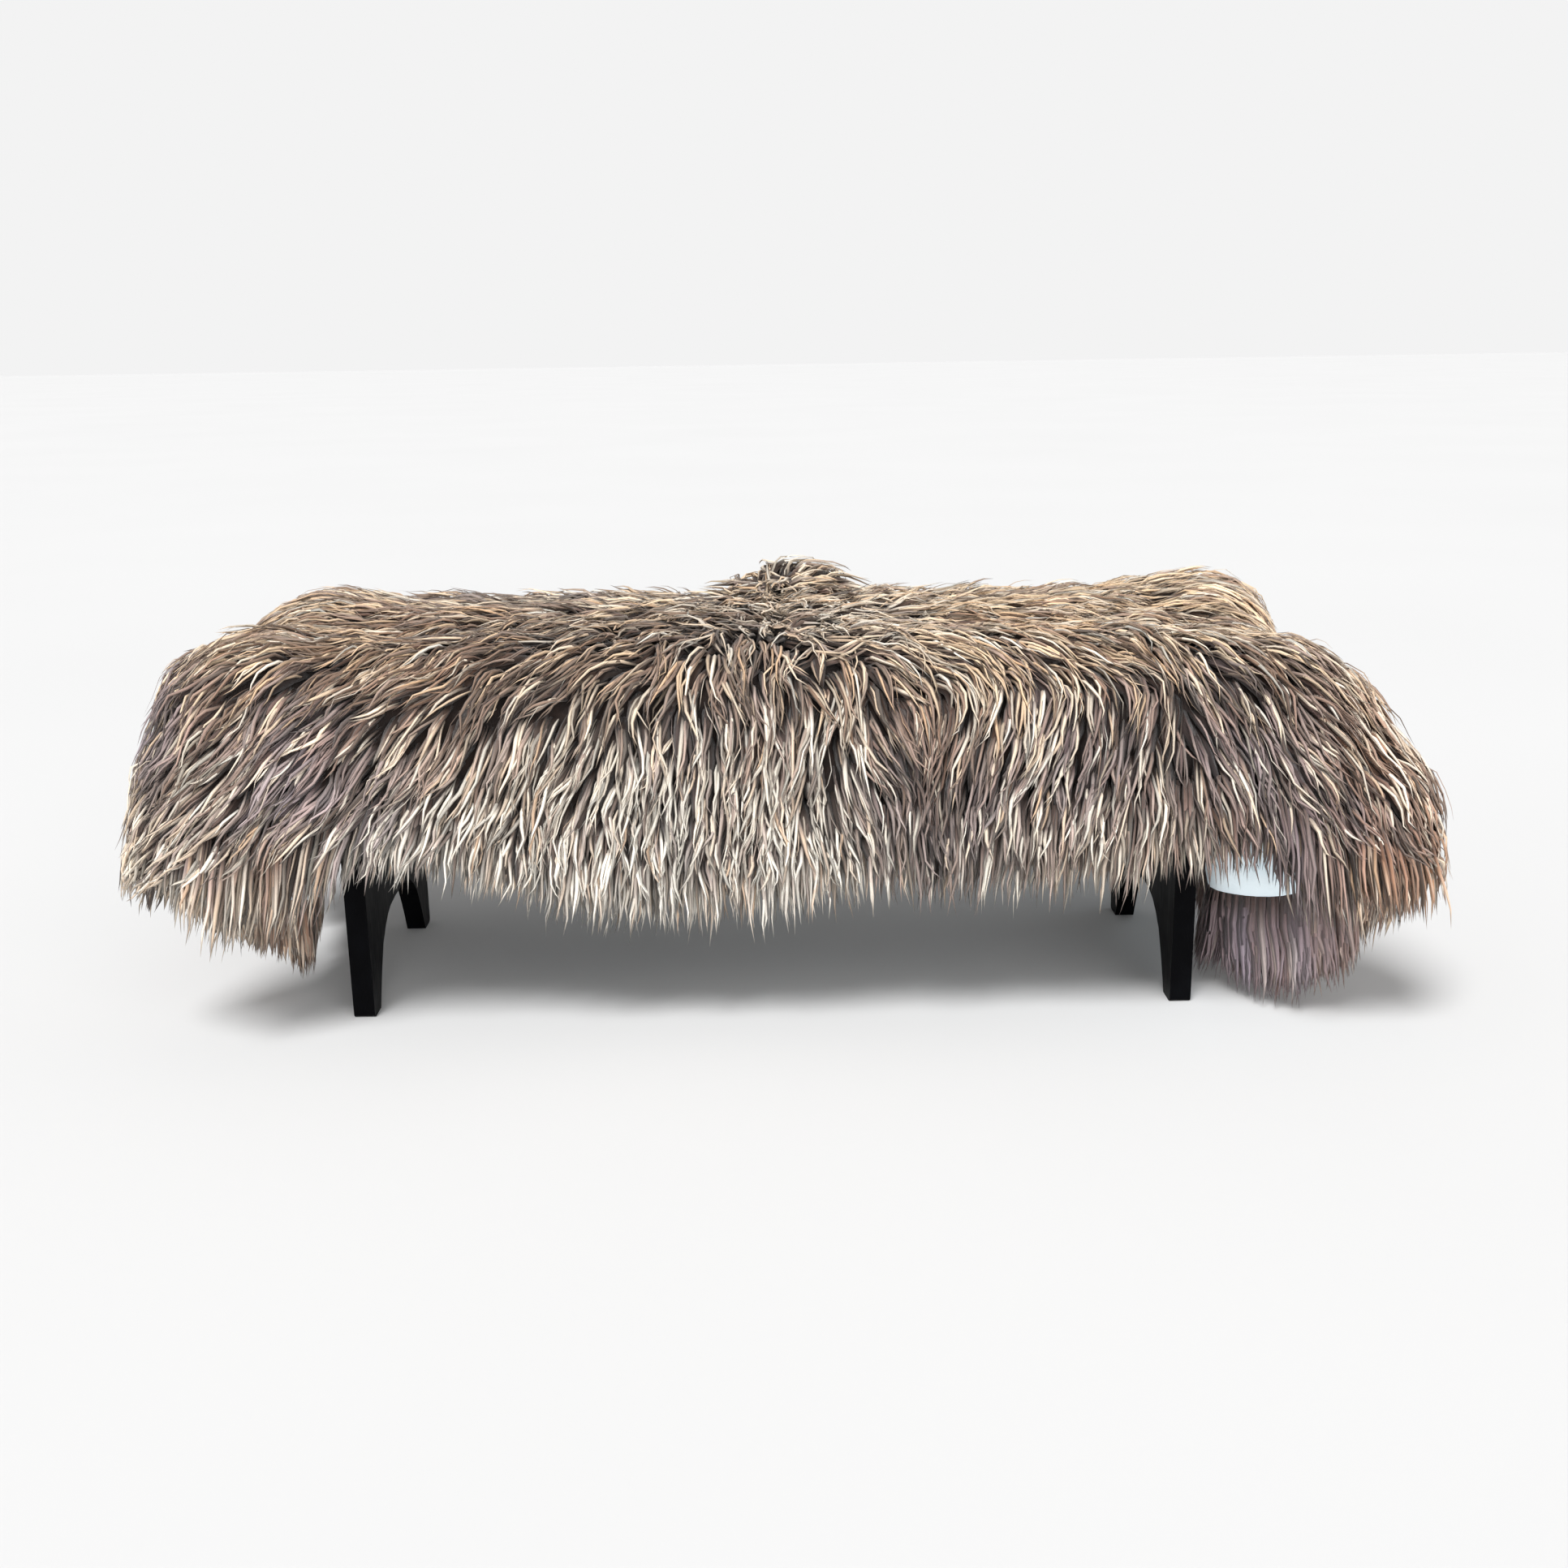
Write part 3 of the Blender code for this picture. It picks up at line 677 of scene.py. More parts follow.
def spread_out(points, spaces):
    """Keeps points that are no closer than their spaces to one kept before."""
    tree = KDTree(len(points))
    for number, point in enumerate(points.tolist()):
        tree.insert(point, number)
    tree.balance()
    free = np.ones(len(points), bool)
    kept = []
    for number, point in enumerate(points.tolist()):
        if free[number]:
            kept.append(number)
            free[[near[1] for near in tree.find_range(point, spaces[number])]] = False
    return points[kept]


def scatter(pelt):
    """Root points spread evenly over a pelt's wool."""
    grid = pelt["lying"][:, :pelt["hide"].shape[1]]
    a, b, c, d = grid[:-1, :-1], grid[1:, :-1], grid[1:, 1:], grid[:-1, 1:]
    area = np.linalg.norm(np.cross(c - a, d - b), axis=2).ravel()
    pick = np.searchsorted(np.cumsum(area) / area.sum(), rng.random(CANDIDATES))
    pick = np.minimum(pick, len(area) - 1)
    s, t = rng.random((2, CANDIDATES, 1))
    corners = [corner.reshape(-1, 3)[pick] for corner in (a, b, c, d)]
    low = corners[0] * (1 - s) + corners[1] * s
    high = corners[3] * (1 - s) + corners[2] * s
    points = low * (1 - t) + high * t
    return spread_out(points, ROOT_SPACE * (1 - DENSER * parting(points)))


def nearest(tree, points):
    """The closest surface points and their normals."""
    found = [tree.find_nearest(point) for point in points.tolist()]
    return (np.array([hit[0][:] for hit in found]), np.array([hit[1][:] for hit in found]))


def grow(tree, roots, lengths, heights, mess, stray):
    """Guides from their roots: points and normals at each step."""
    base, normal = nearest(tree, roots)
    way = flow(base, normal)
    points, normals = [], []
    step = (lengths / GUIDE_STEPS)[:, None]
    for number in range(GUIDE_STEPS + 1):
        share = number / GUIDE_STEPS
        points.append(base + normal * (heights(share))[:, None])
        normals.append(normal)
        push = flow(base, normal) + stray + swirl(base, BROAD_CURL, 1.0) * mess
        push += swirl(base, FINE_CURL, 2.0) * mess * FINE_SHARE
        push -= normal * (push * normal).sum(1, keepdims=True)
        way = unit(way * STIFF + unit(push) * (1 - STIFF))
        base, turned = nearest(tree, base + way * step)
        normal = unit(normal * (1 - TURN_SHARE) + turned * TURN_SHARE)
    return np.stack(points, axis=1), np.stack(normals, axis=1)


def tangle_at(points):
    """Where the wool is tangled: in the middle of the top, most of all at the tuft."""
    x, y = points[:, 0] - BENCH[0], points[:, 1] - BENCH[1]
    return hill((x, 0.05, 0.16), (y, 0.02, 0.22)) * smooth(0.38, 0.46, points[:, 2])


def mess_at(points):
    """How much each guide strays from the flow."""
    return 0.36 + 0.26 * smooth(0.44, 0.48, points[:, 2]) + 0.80 * tangle_at(points)


guides = {}
for side_name, pelt in pelts.items():
    roots = scatter(pelt)
    count = len(roots)
    lengths = rng.uniform(*LENGTH, count) * (0.72 + 0.28 * smooth(0.27, 0.37, roots[:, 2]))
    sink = rng.uniform(0.7, 1.2, count) * ROOT_SINK
    rise = rng.uniform(-0.2, 1.6, count) * TIP_RISE * (1 + 2.2 * tangle_at(roots))

    def heights(share):
        return -sink * (1 - smooth(0.0, 0.34, share)) + rise * share

    stray = rng.normal(0.0, 1.0, (count, 3)) * (0.10 + 0.75 * tangle_at(roots))[:, None]
    guides[side_name] = grow(trees[side_name], roots, lengths, heights, mess_at(roots)[:, None], stray)
    print(side_name, "guides", guides[side_name][0].shape)

# %% [markdown]
# ## Locks from guides
# Each lock is a closed, tapering tube of three or four sides, drawn along its guide with its own
# offset, wave and lift. They are built as arrays, many thousands in one mesh, because that is the only
# quick way to make so many small things. Each lock also gets a patch of the texture map of its own.


# %% Lock builder
CAP = 0.06
CELL_EDGE = 0.04
CELLS_PER_LOCK = 3.0


def along(path, index, shares):
    """Points of the chosen guides at shares of their length, past the end too."""
    last = path.shape[1] - 1
    place = shares * last
    low = np.clip(np.floor(place).astype(int), 0, last - 1)
    part = (place - low)[..., None]
    return path[index[:, None], low] * (1 - part) + path[index[:, None], low + 1] * part


def tube_points(spines, normals, widths, flats, angle):
    """Rings of points round each spine, and the tip at its end, all above the floor."""
    way = unit(np.gradient(spines, axis=1))
    across = unit(np.cross(normals, way))
    up = unit(np.cross(way, across))
    ring = (across[:, :, None] * np.cos(angle)[None, None, :, None]
            + up[:, :, None] * (np.sin(angle)[None, None, :, None] * flats[:, None, None, None]))
    body = spines[:, :-1, None] + ring[:, :-1] * widths[:, :-1, None, None] / 2
    points = np.concatenate((body.reshape(len(spines), -1, 3), spines[:, -1:]), axis=1)
    points[..., 2] = np.maximum(points[..., 2], FLOOR_CLEAR)
    return points


def tube_pattern(sections, sides, angle):
    """Faces of one tube as lists of its points, with their places on its own patch of the map."""
    pattern, maps = [], []
    levels = [CAP + (1 - CAP) * row / (sections - 1) for row in range(sections)]
    for row, (low, high) in enumerate(zip(levels[:-2], levels[1:-1])):
        for edge in range(sides):
            after = (edge + 1) % sides
            pattern.append((row * sides + edge, row * sides + after,
                            (row + 1) * sides + after, (row + 1) * sides + edge))
            maps.append(((edge / sides, low), ((edge + 1) / sides, low),
                         ((edge + 1) / sides, high), (edge / sides, high)))
    base, tip = (sections - 2) * sides, (sections - 1) * sides
    for edge in range(sides):
        pattern.append((base + edge, base + (edge + 1) % sides, tip))
        maps.append(((edge / sides, levels[-2]), ((edge + 1) / sides, levels[-2]),
                     ((edge + 0.5) / sides, 1.0)))
    pattern.append(tuple(range(sides))[::-1])
    maps.append(tuple((0.5 + 0.4 * math.cos(a), 0.025 + 0.02 * math.sin(a)) for a in angle)[::-1])
    return pattern, maps


def add_map(mesh, count, patch):
    """A texture map with a patch of its own for each lock."""
    wide = math.ceil(math.sqrt(count * CELLS_PER_LOCK))
    tall = math.ceil(count / wide)
    cell = np.column_stack((np.arange(count) % wide, np.arange(count) // wide))
    spread = (cell[:, None] + CELL_EDGE + patch[None] * (1 - 2 * CELL_EDGE)) / (wide, tall)
    mesh.uv_layers.new(name="OFBake").data.foreach_set("uv", spread.astype(np.float32).ravel())


def add_tints(mesh, tints, sides):
    """The colours of each lock's sections, on their points."""
    shades = np.concatenate((np.repeat(tints[:, :-1], sides, axis=1), tints[:, -1:]), axis=1)
    shades = np.concatenate((shades, np.ones(shades.shape[:2] + (1,))), axis=2)
    tint = mesh.color_attributes.new("wool_tint", "FLOAT_COLOR", "POINT")
    tint.data.foreach_set("color", shades.astype(np.float32).ravel())


def add_course(mesh, marks, sections, sides):
    """Where each point is: round its lock, along its lock, and which lock."""
    strand = np.zeros((len(marks), (sections - 1) * sides + 1, 3))
    strand[:, :-1, 0] = np.tile(np.arange(sides) / sides, sections - 1)[None] * 4.0 + marks[:, None] * 57.0
    strand[:, -1, 0] = marks * 57.0
    strand[:, :-1, 1] = np.repeat(np.linspace(0, 1, sections)[:-1], sides)
    strand[:, -1, 1] = 1.0
    strand[:, :, 2] = marks[:, None] * 13.0
    course = mesh.attributes.new("strand", "FLOAT_VECTOR", "POINT")
    course.data.foreach_set("vector", strand.astype(np.float32).ravel())


def lay_locks(name, spines, normals, widths, flats, tints, marks, material, sides):
    """One mesh of closed tapering tubes along the given spines."""
    count, sections = spines.shape[:2]
    angle = np.arange(sides) * (2 * math.pi / sides) + math.pi / 2
    points = tube_points(spines, normals, widths, flats, angle)
    pattern, maps = tube_pattern(sections, sides, angle)
    sizes = np.array([len(face) for face in pattern])
    starts = np.concatenate(([0], np.cumsum(sizes)[:-1]))
    lock_number = np.arange(count)[:, None]
    loops = np.concatenate(pattern)[None] + lock_number * points.shape[1]

    mesh = bpy.data.meshes.new(name)
    mesh.vertices.add(count * points.shape[1])
    move_points(mesh, points)
    mesh.loops.add(loops.size)
    mesh.loops.foreach_set("vertex_index", loops.astype(np.int32).ravel())
    mesh.polygons.add(count * len(sizes))
    mesh.polygons.foreach_set("loop_start", (starts[None] + lock_number * sizes.sum()).ravel())
    mesh.polygons.foreach_set("use_smooth", np.ones(count * len(sizes), bool))
    add_map(mesh, count, np.concatenate([np.array(face) for face in maps]))
    mesh.update(calc_edges=True)
    add_tints(mesh, tints, sides)
    add_course(mesh, marks, sections, sides)
    piece = bpy.data.objects.new(name, mesh)
    bpy.context.scene.collection.objects.link(piece)
    give(piece, material)
    print(name, "locks", count, "triangles", count * int((sizes - 2).sum()))
    return piece


print("a lock of three sides and seven sections has", len(tube_pattern(7, 3, (0, 1, 2))[0]), "faces")

# %% [markdown]
# ## Wool colours
# The fleece is taupe with patches of lavender grey and warm brown. The sun has bleached the tips:
# golden along the top, nearly cream at the bottom of the front. Each patch is a soft spot with a
# place, a size and a strength, so the colours drift over the rug as they do on a real fleece.

# %% Wool colours
# Painted shade: the near-black at the roots of the locks stands for the shade deep in the wool.
ROOT_SHADE = srgb(35, 20, 12)
TAUPE = srgb(154, 127, 115)
LAVENDER = srgb(141, 128, 138)
BROWN = srgb(160, 114, 82)
UMBER = srgb(80, 51, 36)
GOLD = srgb(252, 220, 178)
GINGER = srgb(220, 178, 138)
CREAM = srgb(255, 250, 238)

# place x, y, z, radius, strength
GREY_SPOTS = ((-0.56, -0.27, 0.33, 0.11, 1.0), (-0.72, -0.25, 0.42, 0.08, 1.0), (-0.66, -0.27, 0.38, 0.09, 0.8),
              (0.60, -0.24, 0.42, 0.08, 0.9), (0.58, -0.27, 0.34, 0.08, 0.9), (0.68, -0.28, 0.27, 0.10, 1.0),
              (0.38, -0.26, 0.36, 0.09, 0.8), (0.62, -0.18, 0.11, 0.17, 1.0), (0.22, -0.26, 0.30, 0.09, 0.9),
              (-0.30, 0.20, 0.45, 0.20, 0.5), (-0.10, -0.25, 0.33, 0.12, 0.35), (-0.45, 0.12, 0.50, 0.14, 0.7))
BROWN_SPOTS = ((0.80, -0.28, 0.22, 0.14, 1.0), (0.74, -0.26, 0.38, 0.12, 0.7), (-0.62, -0.24, 0.14, 0.12, 0.9),
               (-0.05, -0.12, 0.48, 0.12, 0.7), (0.72, -0.24, 0.05, 0.08, 0.5), (0.40, -0.10, 0.48, 0.20, 0.5),
               (-0.45, -0.12, 0.48, 0.22, 0.8), (-0.18, -0.18, 0.47, 0.12, 0.8), (0.16, -0.24, 0.40, 0.10, 0.6))
GOLD_SPOTS = ((-0.42, 0.00, 0.49, 0.15, 1.0), (-0.22, -0.02, 0.50, 0.12, 1.0), (-0.36, -0.20, 0.46, 0.13, 0.9),
              (0.30, -0.02, 0.50, 0.25, 0.9), (-0.72, -0.10, 0.42, 0.16, 0.9), (0.55, 0.05, 0.49, 0.20, 0.9),
              (-0.78, -0.27, 0.24, 0.14, 1.0), (-0.20, -0.24, 0.42, 0.12, 0.6), (0.03, 0.16, 0.54, 0.10, 0.9))
CREAM_SPOTS = ((-0.20, -0.26, 0.20, 0.20, 1.0), (0.04, -0.26, 0.20, 0.15, 1.0), (-0.08, -0.26, 0.14, 0.16, 1.0),
               (-0.42, -0.26, 0.22, 0.15, 1.0), (0.30, -0.27, 0.20, 0.14, 0.5), (0.05, -0.10, 0.50, 0.16, 0.45),
               (-0.33, 0.10, 0.50, 0.16, 0.3), (0.03, 0.17, 0.55, 0.08, 0.35), (-0.74, -0.28, 0.24, 0.14, 0.6))
BARE_SPOTS = ((0.62, -0.17, 0.10, 0.15, 1.0), (0.68, -0.28, 0.28, 0.13, 0.95), (0.42, -0.26, 0.39, 0.08, 0.8),
              (-0.71, -0.26, 0.40, 0.10, 0.95), (0.20, -0.26, 0.31, 0.10, 0.9), (0.59, -0.26, 0.38, 0.09, 0.85),
              (-0.54, -0.27, 0.36, 0.12, 0.9), (-0.62, -0.20, 0.09, 0.08, 0.7), (-0.36, -0.20, 0.44, 0.14, 0.6),
              (0.34, -0.26, 0.32, 0.16, 0.35), (-0.05, -0.20, 0.46, 0.12, 0.55), (-0.42, 0.02, 0.50, 0.18, 0.45))
DARK_SPOTS = ((-0.10, -0.13, 0.48, 0.09, 1.0), (0.20, -0.27, 0.31, 0.08, 1.0), (-0.36, 0.18, 0.50, 0.11, 1.0),
              (0.24, -0.27, 0.22, 0.05, 0.8), (0.11, -0.27, 0.27, 0.04, 0.8), (0.35, -0.27, 0.24, 0.05, 0.5),
              (-0.12, -0.26, 0.36, 0.05, 0.6), (0.66, -0.27, 0.27, 0.05, 0.6), (0.09, -0.16, 0.47, 0.05, 0.8),
              (-0.16, 0.18, 0.50, 0.10, 1.0), (-0.50, 0.18, 0.48, 0.08, 0.8), (0.60, -0.22, 0.42, 0.06, 0.7),
              (0.50, -0.26, 0.37, 0.07, 0.5), (-0.26, -0.17, 0.48, 0.15, 0.85), (0.03, 0.18, 0.54, 0.06, 0.6))


def spots(rows, points):
    """Strength of a set of soft spots at each point."""
    total = np.zeros(len(points))
    for x, y, z, radius, strength in rows:
        off = points - (BENCH + (x, y, z))
        total = np.maximum(total, strength * np.exp(-(off ** 2).sum(1) / radius ** 2))
    return total


def clouds(points, wave, seed):
    shift = Vector((seed, seed * 2.0, seed * 3.0))
    return np.array([noise.noise(Vector(p) / wave + shift) for p in points.tolist()])


def blend(first, second, share):
    return first + (second - first) * share[..., None]


def wool_palette(points):
    """Body colour, tip colour, the share of bleached tips and the strength of the others."""
    colour = [np.array(c[:3]) for c in (TAUPE, LAVENDER, BROWN, UMBER, GOLD, GINGER, CREAM)]
    taupe, lavender, brown, umber, gold, ginger, cream = colour
    drift = clouds(points, 0.09, 3.0)
    fine = clouds(points, 0.022, 9.0)
    body = np.repeat(taupe[None], len(points), axis=0)
    body = blend(body, lavender[None], np.clip(spots(GREY_SPOTS, points) + drift * 0.3, 0, 1))
    ruddy = np.clip(spots(BROWN_SPOTS, points) - drift * 0.5 + fine * 0.5, 0, 1)
    body = blend(body, brown[None], ruddy * 0.85)
    above = smooth(0.38, 0.47, points[:, 2] - BENCH[2])
    body = blend(body, umber[None], smooth(0.10, 0.50, fine - drift * 0.3 + 0.10 * above) * 0.80)
    body = blend(body, umber[None], above * 0.30)
    body = blend(body, umber[None], spots(DARK_SPOTS, points) * 0.8)
    body = blend(body, cream[None], spots(CREAM_SPOTS, points) * 0.22)
    tip = blend(0.3 * gold + 0.7 * cream, 0.8 * gold + 0.2 * cream, above)
    tip = blend(tip, gold[None], np.clip(spots(GOLD_SPOTS, points) + fine * 0.4, 0, 1))
    tip = blend(tip, ginger[None], np.clip(spots(BROWN_SPOTS, points) + fine * 0.4, 0, 1) * 0.5)
    tip = blend(tip, cream[None], np.clip(spots(CREAM_SPOTS, points) + fine * 0.3, 0, 1))
    lush = 0.60 + 0.70 * spots(CREAM_SPOTS, points) + 0.20 * spots(GOLD_SPOTS, points)
    bare = spots(BARE_SPOTS, points)
    amount = lush * (1.0 - 0.93 * bare) * (1.0 - 0.50 * spots(DARK_SPOTS, points))
    amount = amount * np.clip(0.95 + 0.9 * fine, 0.4, 1.3)
    return body, tip, amount, 0.24 - 0.18 * bare


def shade_locks(palette, index, kind, start, strength, jitter, swerve):
    """Colours along each lock: painted shade at the root, its own tone, then the bleached tip."""
    body, tip, amount, faint = (part[index] for part in palette)
    sections, reach = kind["sections"], kind["reach"]
    share = np.linspace(0, 1, sections)
    value = jitter[:, None, None]
    # Painted shade at the root: the near-black root colour, moved towards taupe by the kind's own share.
    deep = np.array(ROOT_SHADE[:3]) * (1 - kind["root_shade_lifted"]) + np.array(TAUPE[:3]) * kind["root_shade_lifted"]
    colour = blend(np.broadcast_to(deep, (len(index), sections, 3)), body[:, None] * value,
                   np.broadcast_to(smooth(0.08, 0.55, share), (len(index), sections)))
    chosen = rng.random(len(index)) < amount
    strength = np.where(chosen, strength, strength * faint)
    pale = smooth(start[:, None], (start + reach)[:, None], share[None]) * strength[:, None]
    bright = blend(tip, np.array(CREAM[:3])[None], np.clip(swerve, 0, 1))
    bright = blend(bright, np.array(GINGER[:3])[None], np.clip(-swerve, 0, 1) * 0.8)
    return blend(colour, bright[:, None] * value ** 0.6, np.clip(pale, 0, 1))


print("wool colours ready, spots of cream:", len(CREAM_SPOTS), "and of gold:", len(GOLD_SPOTS))

# %% [markdown]
# ## The wool itself
# Every lock shares one material. Its colour comes from the tints above, and fine streaks run along
# the lock, finer than the tubes, so that a tube reads as a bundle of fibres.


# %% Wool material
def wool():
    paint = Paint("long_wool", Sheen_Weight=0.25, Sheen_Roughness=0.45, Specular_IOR_Level=0.25)
    strand = paint.attribute("strand", "Vector")
    fibres = paint.cloud(paint.stretched(strand, (9.0, 3.0, 1.0)), 1.0, 3.0, 0.65)
    streaks = paint.cloud(paint.stretched(strand, (3.0, 1.2, 1.0)), 1.0, 2.0, 0.5)
    light = paint.between(fibres, 0.30, 0.70, 0.62, 1.24) * paint.between(streaks, 0.25, 0.75, 0.84, 1.14)
    grey = paint.node("ShaderNodeCombineColor", values={0: light, 1: light, 2: light})
    paint.show("Base Color", paint.mix(1.0, paint.attribute("wool_tint"), grey, "MULTIPLY"))
    paint.show("Roughness", fibres * 0.25 + 0.48)
    paint.bump(fibres, 0.0012, 0.7)
    return paint.material


long_wool = wool()
print("wool material ready")

# %% [markdown]
# ## Four kinds of lock
# Broad soft staples make the body, and narrower tresses lie on them. Thin wavy locks with bleached tips
# lie on top of both and give the rug its drawing. A few flyaways stand off and soften the outline.

# %% Lock kinds
DARK_SHARE = 0.23
DARK_TONE, OTHER_TONE = 0.42, 1.08
PAST_END = 1.2
# Each kind's value sets its brightness: the staples and tresses lying under the top locks are kept darker, as
# painted shade beneath them.
KINDS = {
    "staple": dict(each=0.85, sections=6, sides=4, width=(0.013, 0.021), flat=0.36, spread=0.006,
                   lift=(-0.011, -0.006), wave=0.0016, span=(0.72, 0.94), start=(0.50, 0.80), reach=0.5,
                   tip=(0.00, 0.15), joined=0.3, root_shade_lifted=0.0, value=0.24,
                   profile=(0.60, 1.00, 1.00, 0.84, 0.52, 0.0)),
    "tress": dict(each=1.2, sections=6, sides=3, width=(0.006, 0.011), flat=0.55, spread=0.010,
                  lift=(-0.006, 0.000), wave=0.0026, span=(0.80, 1.05), start=(0.30, 0.70), reach=0.4,
                  tip=(0.30, 0.85), joined=0.60, root_shade_lifted=0.0, value=0.68, thin=0.35,
                  profile=(0.55, 1.00, 1.00, 0.80, 0.46, 0.0)),
    "lock": dict(each=3.3, sections=7, sides=3, width=(0.0035, 0.0068), flat=0.60, spread=0.013,
                 lift=(0.000, 0.008), wave=0.0050, span=(0.72, 1.14), start=(0.02, 0.34), reach=0.22,
                 tip=(0.80, 1.00), joined=0.80, root_shade_lifted=0.0, value=1.10, thin=0.50,
                 profile=(0.45, 0.80, 1.00, 0.96, 0.76, 0.46, 0.0)),
    "flyaway": dict(each=0.4, sections=6, sides=3, width=(0.0012, 0.0022), flat=0.8, spread=0.014,
                    lift=(0.000, 0.013), wave=0.0060, span=(0.70, 1.15), start=(0.10, 0.40), reach=0.3,
                    tip=(0.60, 1.0), joined=0.1, root_shade_lifted=0.0, value=1.0,
                    profile=(0.70, 1.00, 1.00, 0.85, 0.55, 0.0)),
}


def spines_of(guide, index, kind, count):
    """Course of each lock: its guide's, with its own offset, wave and lift."""
    share = np.linspace(0, 1, kind["sections"])[None]
    span = rng.uniform(*kind["span"], count)[:, None]
    place = share * span + rng.uniform(-0.04, 0.06, count)[:, None]
    path = along(guide[0], index, np.clip(place, 0.0, PAST_END))
    normal = unit(along(guide[1], index, np.clip(place, 0.0, 1.0)))
    way = unit(np.gradient(path, axis=1))
    across = unit(np.cross(normal, way))
    offset = rng.uniform(-1, 1, count)[:, None] * kind["spread"] * (1 - kind["joined"] * share)
    length = np.linalg.norm(np.diff(path, axis=1), axis=2).sum(1)[:, None]
    phase = rng.uniform(0, 2 * math.pi, count)[:, None]
    rate = rng.uniform(0.060, 0.105, count)[:, None]
    turns = share * length / rate * 2 * math.pi
    wave = kind["wave"] * rng.uniform(0.3, 1.5, count)[:, None] * np.sin(turns + phase)
    bob = 0.5 * kind["wave"] * np.cos(turns + phase * 1.7)
    lift = rng.uniform(*kind["lift"], count)[:, None] * smooth(0.05, 0.6, share)
    spines = path + across * (offset + wave * share)[..., None] + normal * (lift + bob * share)[..., None]
    return spines, normal


def make_locks(side_name, kind_name, parts=1, bulk=1.0, calm=1.0, tone=1.0):
    """All locks of one kind on one pelt, in one or more pieces.

    The locks of a bundle share a guide. bulk makes them broader, calm below one evens out their
    tones and tone lightens them all, each as one number or one for every guide.
    """
    kind = KINDS[kind_name]
    guide = guides[side_name]
    total = guide[0].shape[0]
    index = np.concatenate([rng.permutation(total) for _ in range(math.ceil(kind["each"]))])
    index = np.sort(index[:int(total * kind["each"])])
    middle = guide[0].mean(axis=1)
    thin = kind.get("thin", 0.0) * spots(DARK_SPOTS, middle) * (middle[:, 1] < 0.08)
    index = index[rng.random(len(index)) > thin[index]]
    count = len(index)
    spines, normals = spines_of(guide, index, kind, count)
    widths = (rng.uniform(*kind["width"], count) * bulk)[:, None] * np.array(kind["profile"])[None]
    jitter = rng.normal(1.0, 0.17, count).clip(0.6, 1.5) * kind["value"]
    jitter *= (1.0 + 0.16 * rng.normal(0.0, 1.0, total).clip(-2, 2))[index]
    jitter *= np.where(rng.random(count) < DARK_SHARE, DARK_TONE, OTHER_TONE)
    jitter = np.maximum(kind["value"] + (jitter - kind["value"]) * calm, 0.12) * tone
    start = rng.uniform(*kind["start"], count)
    tip = rng.uniform(*kind["tip"], count) * np.minimum(calm, 1.0)
    palette = wool_palette(middle)
    swerve = rng.normal(0.0, 0.45, count)
    tints = shade_locks(palette, index, kind, start, tip, jitter, swerve)
    flats = rng.uniform(0.8, 1.2, count) * kind["flat"]
    marks = rng.random(count)
    made = []
    for part in range(parts):
        pick = slice(part * count // parts, (part + 1) * count // parts)
        made.append(lay_locks(f"{kind_name}_{side_name}_{part + 1}", spines[pick], normals[pick], widths[pick],
                              flats[pick], tints[pick], marks[pick], long_wool, kind["sides"]))
    return made


wool_pieces = {"left": [], "right": []}
for side_name in SIDES:
    wool_pieces[side_name] += make_locks(side_name, "staple")
    wool_pieces[side_name] += make_locks(side_name, "tress")
    wool_pieces[side_name] += make_locks(side_name, "lock", parts=2)
    wool_pieces[side_name] += make_locks(side_name, "flyaway")

# %% [markdown]
# ## The tuft
# In the middle of the back edge the wool of both necks meets and stands up in a ragged crest. Its
# wisps rise from the surface, each with its own lean, and curl over at their tips.

# %% Tuft wisps
TUFT_WISPS = 110
TUFT_SPREAD = (0.050, 0.046)
TUFT_RISE = (-0.014, 0.010)
TUFT_LENGTH = (0.040, 0.074)
TUFT_SINK = 0.018
TUFT_SEARCH_Z = 0.55


def tuft_guides():
    """Guides of the wisps that stand up at the back of the seam."""
    seed = rng.normal(0.0, 0.5, (TUFT_WISPS, 2)).clip(-1, 1)
    spot = BENCH + np.column_stack((TUFT_PLACE[0] + seed[:, 0] * TUFT_SPREAD[0],
                                    TUFT_PLACE[1] - 0.02 + seed[:, 1] * TUFT_SPREAD[1],
                                    np.full(TUFT_WISPS, TUFT_SEARCH_Z)))
    found = [nearest(tree, spot)[0] for tree in trees.values()]
    far = [np.linalg.norm(base - spot, axis=1) for base in found]
    base = np.where((far[0] < far[1])[:, None], *found)
    out = unit(np.column_stack((seed[:, 0] * 1.2 + rng.normal(0, 0.5, TUFT_WISPS),
                                seed[:, 1] - 0.35 + rng.normal(0, 0.4, TUFT_WISPS), np.zeros(TUFT_WISPS))))
    length = rng.uniform(*TUFT_LENGTH, TUFT_WISPS)[:, None]
    rise = rng.uniform(*TUFT_RISE, TUFT_WISPS)
    steps = []
    for number in range(GUIDE_STEPS + 1):
        share = number / GUIDE_STEPS
        point = base + out * length * share
        point = point + swirl(point, 0.03, 6.0) * 0.012 * share
        point[:, 2] = base[:, 2] - TUFT_SINK + rise * math.sin(math.pi * share * 0.72) * 1.1 + 0.004
        steps.append(point)
    path = np.stack(steps, axis=1)
    return path, np.repeat(np.array([[[0.0, 0.0, 1.0]]]), TUFT_WISPS, 0).repeat(GUIDE_STEPS + 1, 1)


guides["tuft"] = tuft_guides()
KINDS["wisp"] = dict(KINDS["lock"], each=3, spread=0.008, width=(0.004, 0.008), lift=(-0.002, 0.003))
KINDS["crest"] = dict(KINDS["tress"], each=2, spread=0.007)
wool_pieces["right"] += make_locks("tuft", "crest") + make_locks("tuft", "wisp")

# %% [markdown]
# ## Wool past the hem
# Where the hide ends the wool goes on: it hangs through its whole depth, as a curtain. These locks
# start on the hem, at every depth, and fall by the length that the table gives.

